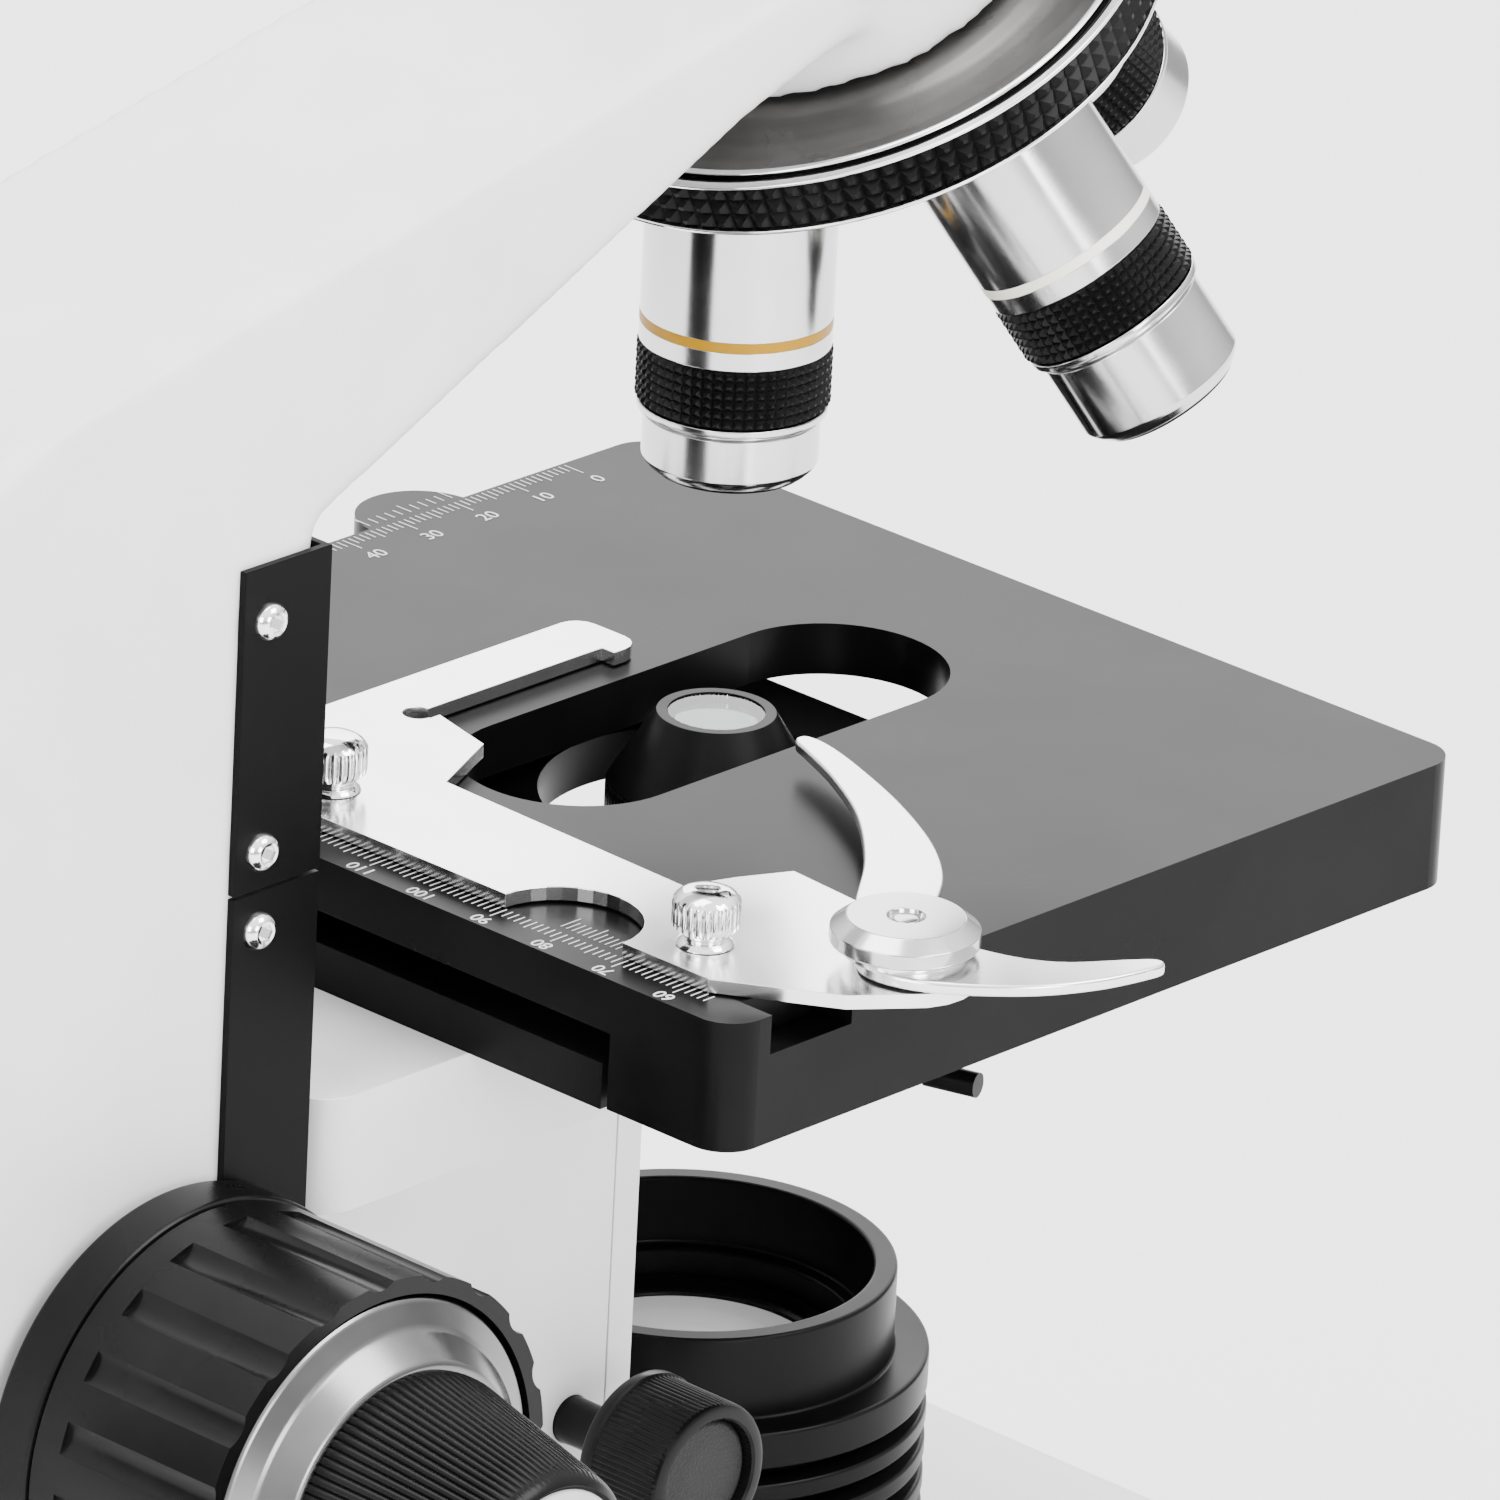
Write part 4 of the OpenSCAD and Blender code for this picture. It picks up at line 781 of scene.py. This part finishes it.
def stroke(bm, a, b, width, z):
    """A thin flat line from a to b."""
    d = (b - a).normalized() * width / 2
    n = Vector((-d.y, d.x))
    points = (a - n, b - n, b + n, a + n)
    lower = [bm.verts.new((p.x, p.y, z - TICK_DEPTH)) for p in points]
    upper = [bm.verts.new((p.x, p.y, z)) for p in points]
    bm.faces.new(upper)
    bm.faces.new(lower[::-1])
    for i in range(4):
        j = (i + 1) % 4
        bm.faces.new((lower[i], lower[j], upper[j], upper[i]))


def label(name, text, body, place, turn, size):
    """A printed number, centred at place and turned about Z."""
    curve = bpy.data.curves.new(name, "FONT")
    curve.body = text
    curve.size = size
    curve.align_x = "CENTER"
    curve.align_y = "CENTER"
    curve.extrude = NUMBER_HALF
    work = bpy.data.objects.new(name + "_work", curve)
    bpy.context.scene.collection.objects.link(work)
    bpy.context.view_layer.update()
    mesh = baked(work)
    bpy.data.objects.remove(work)
    mesh.transform(Matrix.Translation(place) @ Matrix.Rotation(turn, 4, "Z"))
    return new_piece(name, mesh, body, MATERIALS["print_white"])


def make_cross_scale():
    """Millimetre scale along the stage's back edge, numbered 60 to 130."""
    z = STAGE_TOP + PRINT_LIFT
    y = AXIS.y + 64.7 * MM
    bm = bmesh.new()
    for n in range(56, 132):
        x = AXIS.x + (n - 117) * MM
        reach = tick_length(n, 2.9, 2.3, 1.9)
        stroke(bm, Vector((x, y)), Vector((x, y + reach * MM)), TICK_WIDTH, z)
        if n % 10 == 0:
            place = (x, AXIS.y + 69.0 * MM, z - NUMBER_SINK)
            label("cross_number_%d" % n, str(n), "stage_plate", place, 0, 0.0027)
    new_piece("cross_ticks", mesh_from("cross_ticks", bm), "stage_plate",
              MATERIALS["print_white"])


def make_length_scale():
    """Millimetre scale along the stage's right edge, numbered 0 to 50, with its vernier."""
    z = STAGE_TOP + PRINT_LIFT
    edge = STAGE_EDGE_X
    bm = bmesh.new()
    for n in range(56):
        y = AXIS.y + (n - 44.2) * MM
        reach = tick_length(n, 3.4, 2.6, 1.9)
        stroke(bm, Vector((edge - 0.6 * MM, y)), Vector((edge - (0.6 + reach) * MM, y)),
               TICK_WIDTH, z)
        if n % 10 == 0:
            place = (edge - 6.6 * MM, y, z - NUMBER_SINK)
            label("length_number_%d" % n, str(n), "stage_plate", place, -math.pi / 2, 0.0030)
    for n in range(VERNIER_TICKS):
        y = AXIS.y + (-10.4 - n * 1.48) * MM
        reach = tick_length(n, 2.6, 2.6, 1.8)
        stroke(bm, Vector((edge + 0.7 * MM, y)), Vector((edge + (0.7 + reach) * MM, y)),
               TICK_WIDTH, z)
    new_piece("length_ticks", mesh_from("length_ticks", bm), "stage_plate",
              MATERIALS["print_white"])


def make_vernier():
    """Fine ticks on the slider under the holder's round window."""
    z = high("cross_slider").z + 0.00004
    bm = bmesh.new()
    y = AXIS.y + 63.2 * MM
    for n in range(VERNIER_TICKS):
        x = AXIS.x + (-43.5 + n * 0.9) * MM
        reach = tick_length(n, 3.4, 3.4, 2.4)
        stroke(bm, Vector((x, y)), Vector((x, y - reach * MM)), 0.00012, z)
    new_piece("vernier_ticks", mesh_from("vernier_ticks", bm), "cross_slide",
              MATERIALS["print_white"])


# ---- Castings ----

def make_castings():
    """Soft-edged castings over the plain CAD solids that they stand for."""
    cast("arm", "arm_casting", "root", 1.2, 16)
    cast("base_shell", "base_casting", "root", 1.6, 18)
    cast("head_body", "head_casting", "head", 1.0, 22)
    cast("tube_left", "tube_left_casting", "left_eye", 0.9, 14)
    cast("tube_right", "tube_right_casting", "right_eye", 0.9, 14)


# ---- CAD nodes that stay ----

# Width of each node's rounded edges, in millimetres
SOFT = {"carriage": 1.2, "condenser_slide": 0.8, "upper_stage": 1.0, "lower_stage": 0.6,
        "cross_slider": 0.3, "specimen_holder": 0.35, "lamp_housing": 0.5, "upper_cover": 0.3,
        "lower_cover": 0.3, "coarse_knob_left": 0.8, "coarse_knob_right": 0.8,
        "tension_collar": 0.6, "cross_knob": 0.3, "length_knob": 0.3, "drive_housing": 0.5,
        "condenser": 0.3, "condenser_ring": 0.4, "iris_lever": 0.3, "condenser_screw": 0.4,
        "head_screw": 0.5, "diopter_ring": 0.4, "dimmer_knob": 0.5, "power_inlet": 0.4,
        "power_switch": 0.4, "rubber_feet": 0.5}

# Which nodes have each finish
PAINT = {"white_paint": ["carriage", "condenser_slide"],
         "black_paint": ["base_plate", "lamp_housing", "lower_stage", "cross_slider", "drive_housing",
                         "condenser", "condenser_ring", "iris_lever"],
         "cover_paint": ["upper_cover", "lower_cover"],
         "stage_paint": ["upper_stage"],
         "black_plastic": ["power_inlet", "power_switch", "dimmer_knob", "coarse_knob_left",
                           "coarse_knob_right", "tension_collar", "cross_knob", "length_knob",
                           "condenser_screw", "head_screw", "diopter_ring"],
         "holder_chrome": ["specimen_holder"],
         "steel": ["base_screws", "dimmer_pot", "guide_rods", "coarse_shaft", "fine_shaft"],
         "brass": ["shaft_bushings", "focus_rack", "length_rack"],
         "aluminium": ["led_module"],
         "rubber": ["rubber_feet"],
         "glass": ["condenser_lens", "front_lenses"],
         "board": ["power_board"]}


def treat_nodes():
    """Rounds the edges listed under SOFT, and gives every CAD node a material."""
    for name, width in SOFT.items():
        soft_edges(name, width)
    for finish, names in PAINT.items():
        for name in names:
            paint(name, MATERIALS[finish])
    for name in NODES:
        if not any(name in names for names in PAINT.values()):
            paint(name, MATERIALS["black_plastic"])


# ---- Eyepieces ----

# How much of an eyepiece, in millimetres, lies below its body's lower face
INSERTED = 24


def mouth_frame(side):
    """Frame at the seat of an eyepiece: +Z along its tube, towards the eye."""
    diopter = joint("diopter_turn")
    left = Vector(diopter["pos_m"])
    return along((side * abs(left.x), left.y, left.z), diopter["axis"])


def make_eyepieces():
    """Eyepieces with a black body, a soft eyecup and a coated eye lens."""
    for side, node, body in ((-1, "eyepiece_left", "left_eye"), (1, "eyepiece_right", "right_eye")):
        seat = mouth_frame(side)
        lowest = min((seat.inverted() @ v.co).z for v in NODES[node].data.vertices) / MM
        place = seat @ Matrix.Translation((0, 0, (lowest + INSERTED) * MM))
        shell = [(9.5, -20), (11.55, -20), (11.55, 0.2), (15.2, 0.2), (15.5, 0.7), (15.5, 3.6),
                 (15.1, 3.9), (15.1, 4.7), (15.5, 5.0), (15.5, 15.2), (14.4, 16.2), (12.6, 16.6),
                 (12.2, 16.0), (9.5, 14.5), (9.5, -20)]
        tube = new_piece(node + "_shell", lathe(node + "_shell", rounded(shell, 0.3), 128), body,
                         MATERIALS["black_plastic"], place)
        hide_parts(node)
        cup = [(13.0, 15.4), (16.4, 15.2), (16.9, 16.0), (16.9, 17.0), (16.0, 17.6), (16.0, 18.6),
               (16.8, 19.2), (17.0, 20.0), (16.9, 22.6), (16.2, 23.8), (14.9, 24.0), (13.9, 23.4),
               (13.3, 21.4), (12.8, 17.6), (13.0, 15.4)]
        new_piece(node + "_cup", lathe(node + "_cup", rounded(cup, 0.5), 128), body,
                  MATERIALS["rubber"], place)
        lens = [(0, 15.4), (11.0, 14.6), (12.5, 15.9), (11.0, 16.5), (6.0, 17.2), (0, 17.5)]
        new_piece(node + "_lens", lathe(node + "_lens", rounded(lens, 0.4), 96), body,
                  MATERIALS["glass"], place)


# ---- Light, floor and camera ----

# Strength of the surroundings at and below the horizon, and high up
HORIZON_LIGHT = 0.6
TENT_LIGHT = 2.7


def area(name, place, size, power):
    """A soft square light aimed at the stage, which no camera sees itself."""
    lamp = bpy.data.lights.new(name, "AREA")
    lamp.size = size
    lamp.energy = power
    light = bpy.data.objects.new(name, lamp)
    bpy.context.scene.collection.objects.link(light)
    light.matrix_world = along(AXIS + Vector(place), Vector(place), (1, 0, 0))
    light.visible_camera = False


def make_world():
    """Surroundings that are white above and dim at the horizon, as in a studio tent."""
    world = bpy.data.worlds.new("studio")
    bpy.context.scene.world = world
    world.use_nodes = True
    tree = world.node_tree
    ground = tree.nodes["Background"]
    ground.inputs["Color"].default_value = (1, 1, 1, 1)
    coord = tree.nodes.new("ShaderNodeTexCoord")
    split = tree.nodes.new("ShaderNodeSeparateXYZ")
    tree.links.new(coord.outputs["Generated"], split.inputs["Vector"])
    strength = ranged(tree, split.outputs["Z"], HORIZON_LIGHT, TENT_LIGHT, 0.0, 0.7)
    tree.links.new(strength, ground.inputs["Strength"])


def make_stage():
    """Pale floor, a studio tent and soft studio lights."""
    bm = bmesh.new()
    bmesh.ops.create_grid(bm, x_segments=1, y_segments=1, size=4)
    floor = bpy.data.objects.new("floor", mesh_from("floor", bm))
    bpy.context.scene.collection.objects.link(floor)
    finish = surface("pale_floor", grey(0.90), grey(0.92), (0.6, 0.7), blotch=3)[0]
    floor.data.materials.append(finish)
    make_world()
    area("key", (-0.9, -0.3, 1.1), 0.7, 20)
    area("fill", (-0.25, 1.4, 0.45), 0.6, 13)
    area("side", (-1.35, 0.45, 0.35), 0.5, 10)
    area("top", (0.3, 0.2, 1.4), 0.9, 18)
    area("back", (1.35, -1.45, 0.85), 1.5, 30)


# From the optical axis at the stage's top
CAMERA_PLACE = Vector((-1.24596, 1.36551, 0.75774))
CAMERA_AIM = Vector((-0.00444, -0.00157, -0.00441))
CAMERA_RIGHT = Vector((-0.72608, -0.68596, 0.04764))


def make_camera():
    """A long lens from the operator's left rear, level with the arm's top."""
    lens = bpy.data.cameras.new("camera")
    lens.lens = 391.6
    lens.sensor_width = 36
    lens.clip_end = 20
    camera = bpy.data.objects.new("camera", lens)
    bpy.context.scene.collection.objects.link(camera)
    camera.matrix_world = along(AXIS + CAMERA_PLACE, CAMERA_PLACE - CAMERA_AIM, CAMERA_RIGHT)
    bpy.context.scene.camera = camera


make_camera()
make_stage()
treat_nodes()
make_castings()
make_turret()
make_dome()
make_objectives()
make_fine_knobs()
make_cover_screws()
make_thumb_screws()
make_clip()
make_lamp_lens()
make_condenser_knob()
make_condenser_grip()
make_eyepieces()
make_cross_scale()
make_length_scale()
make_vernier()
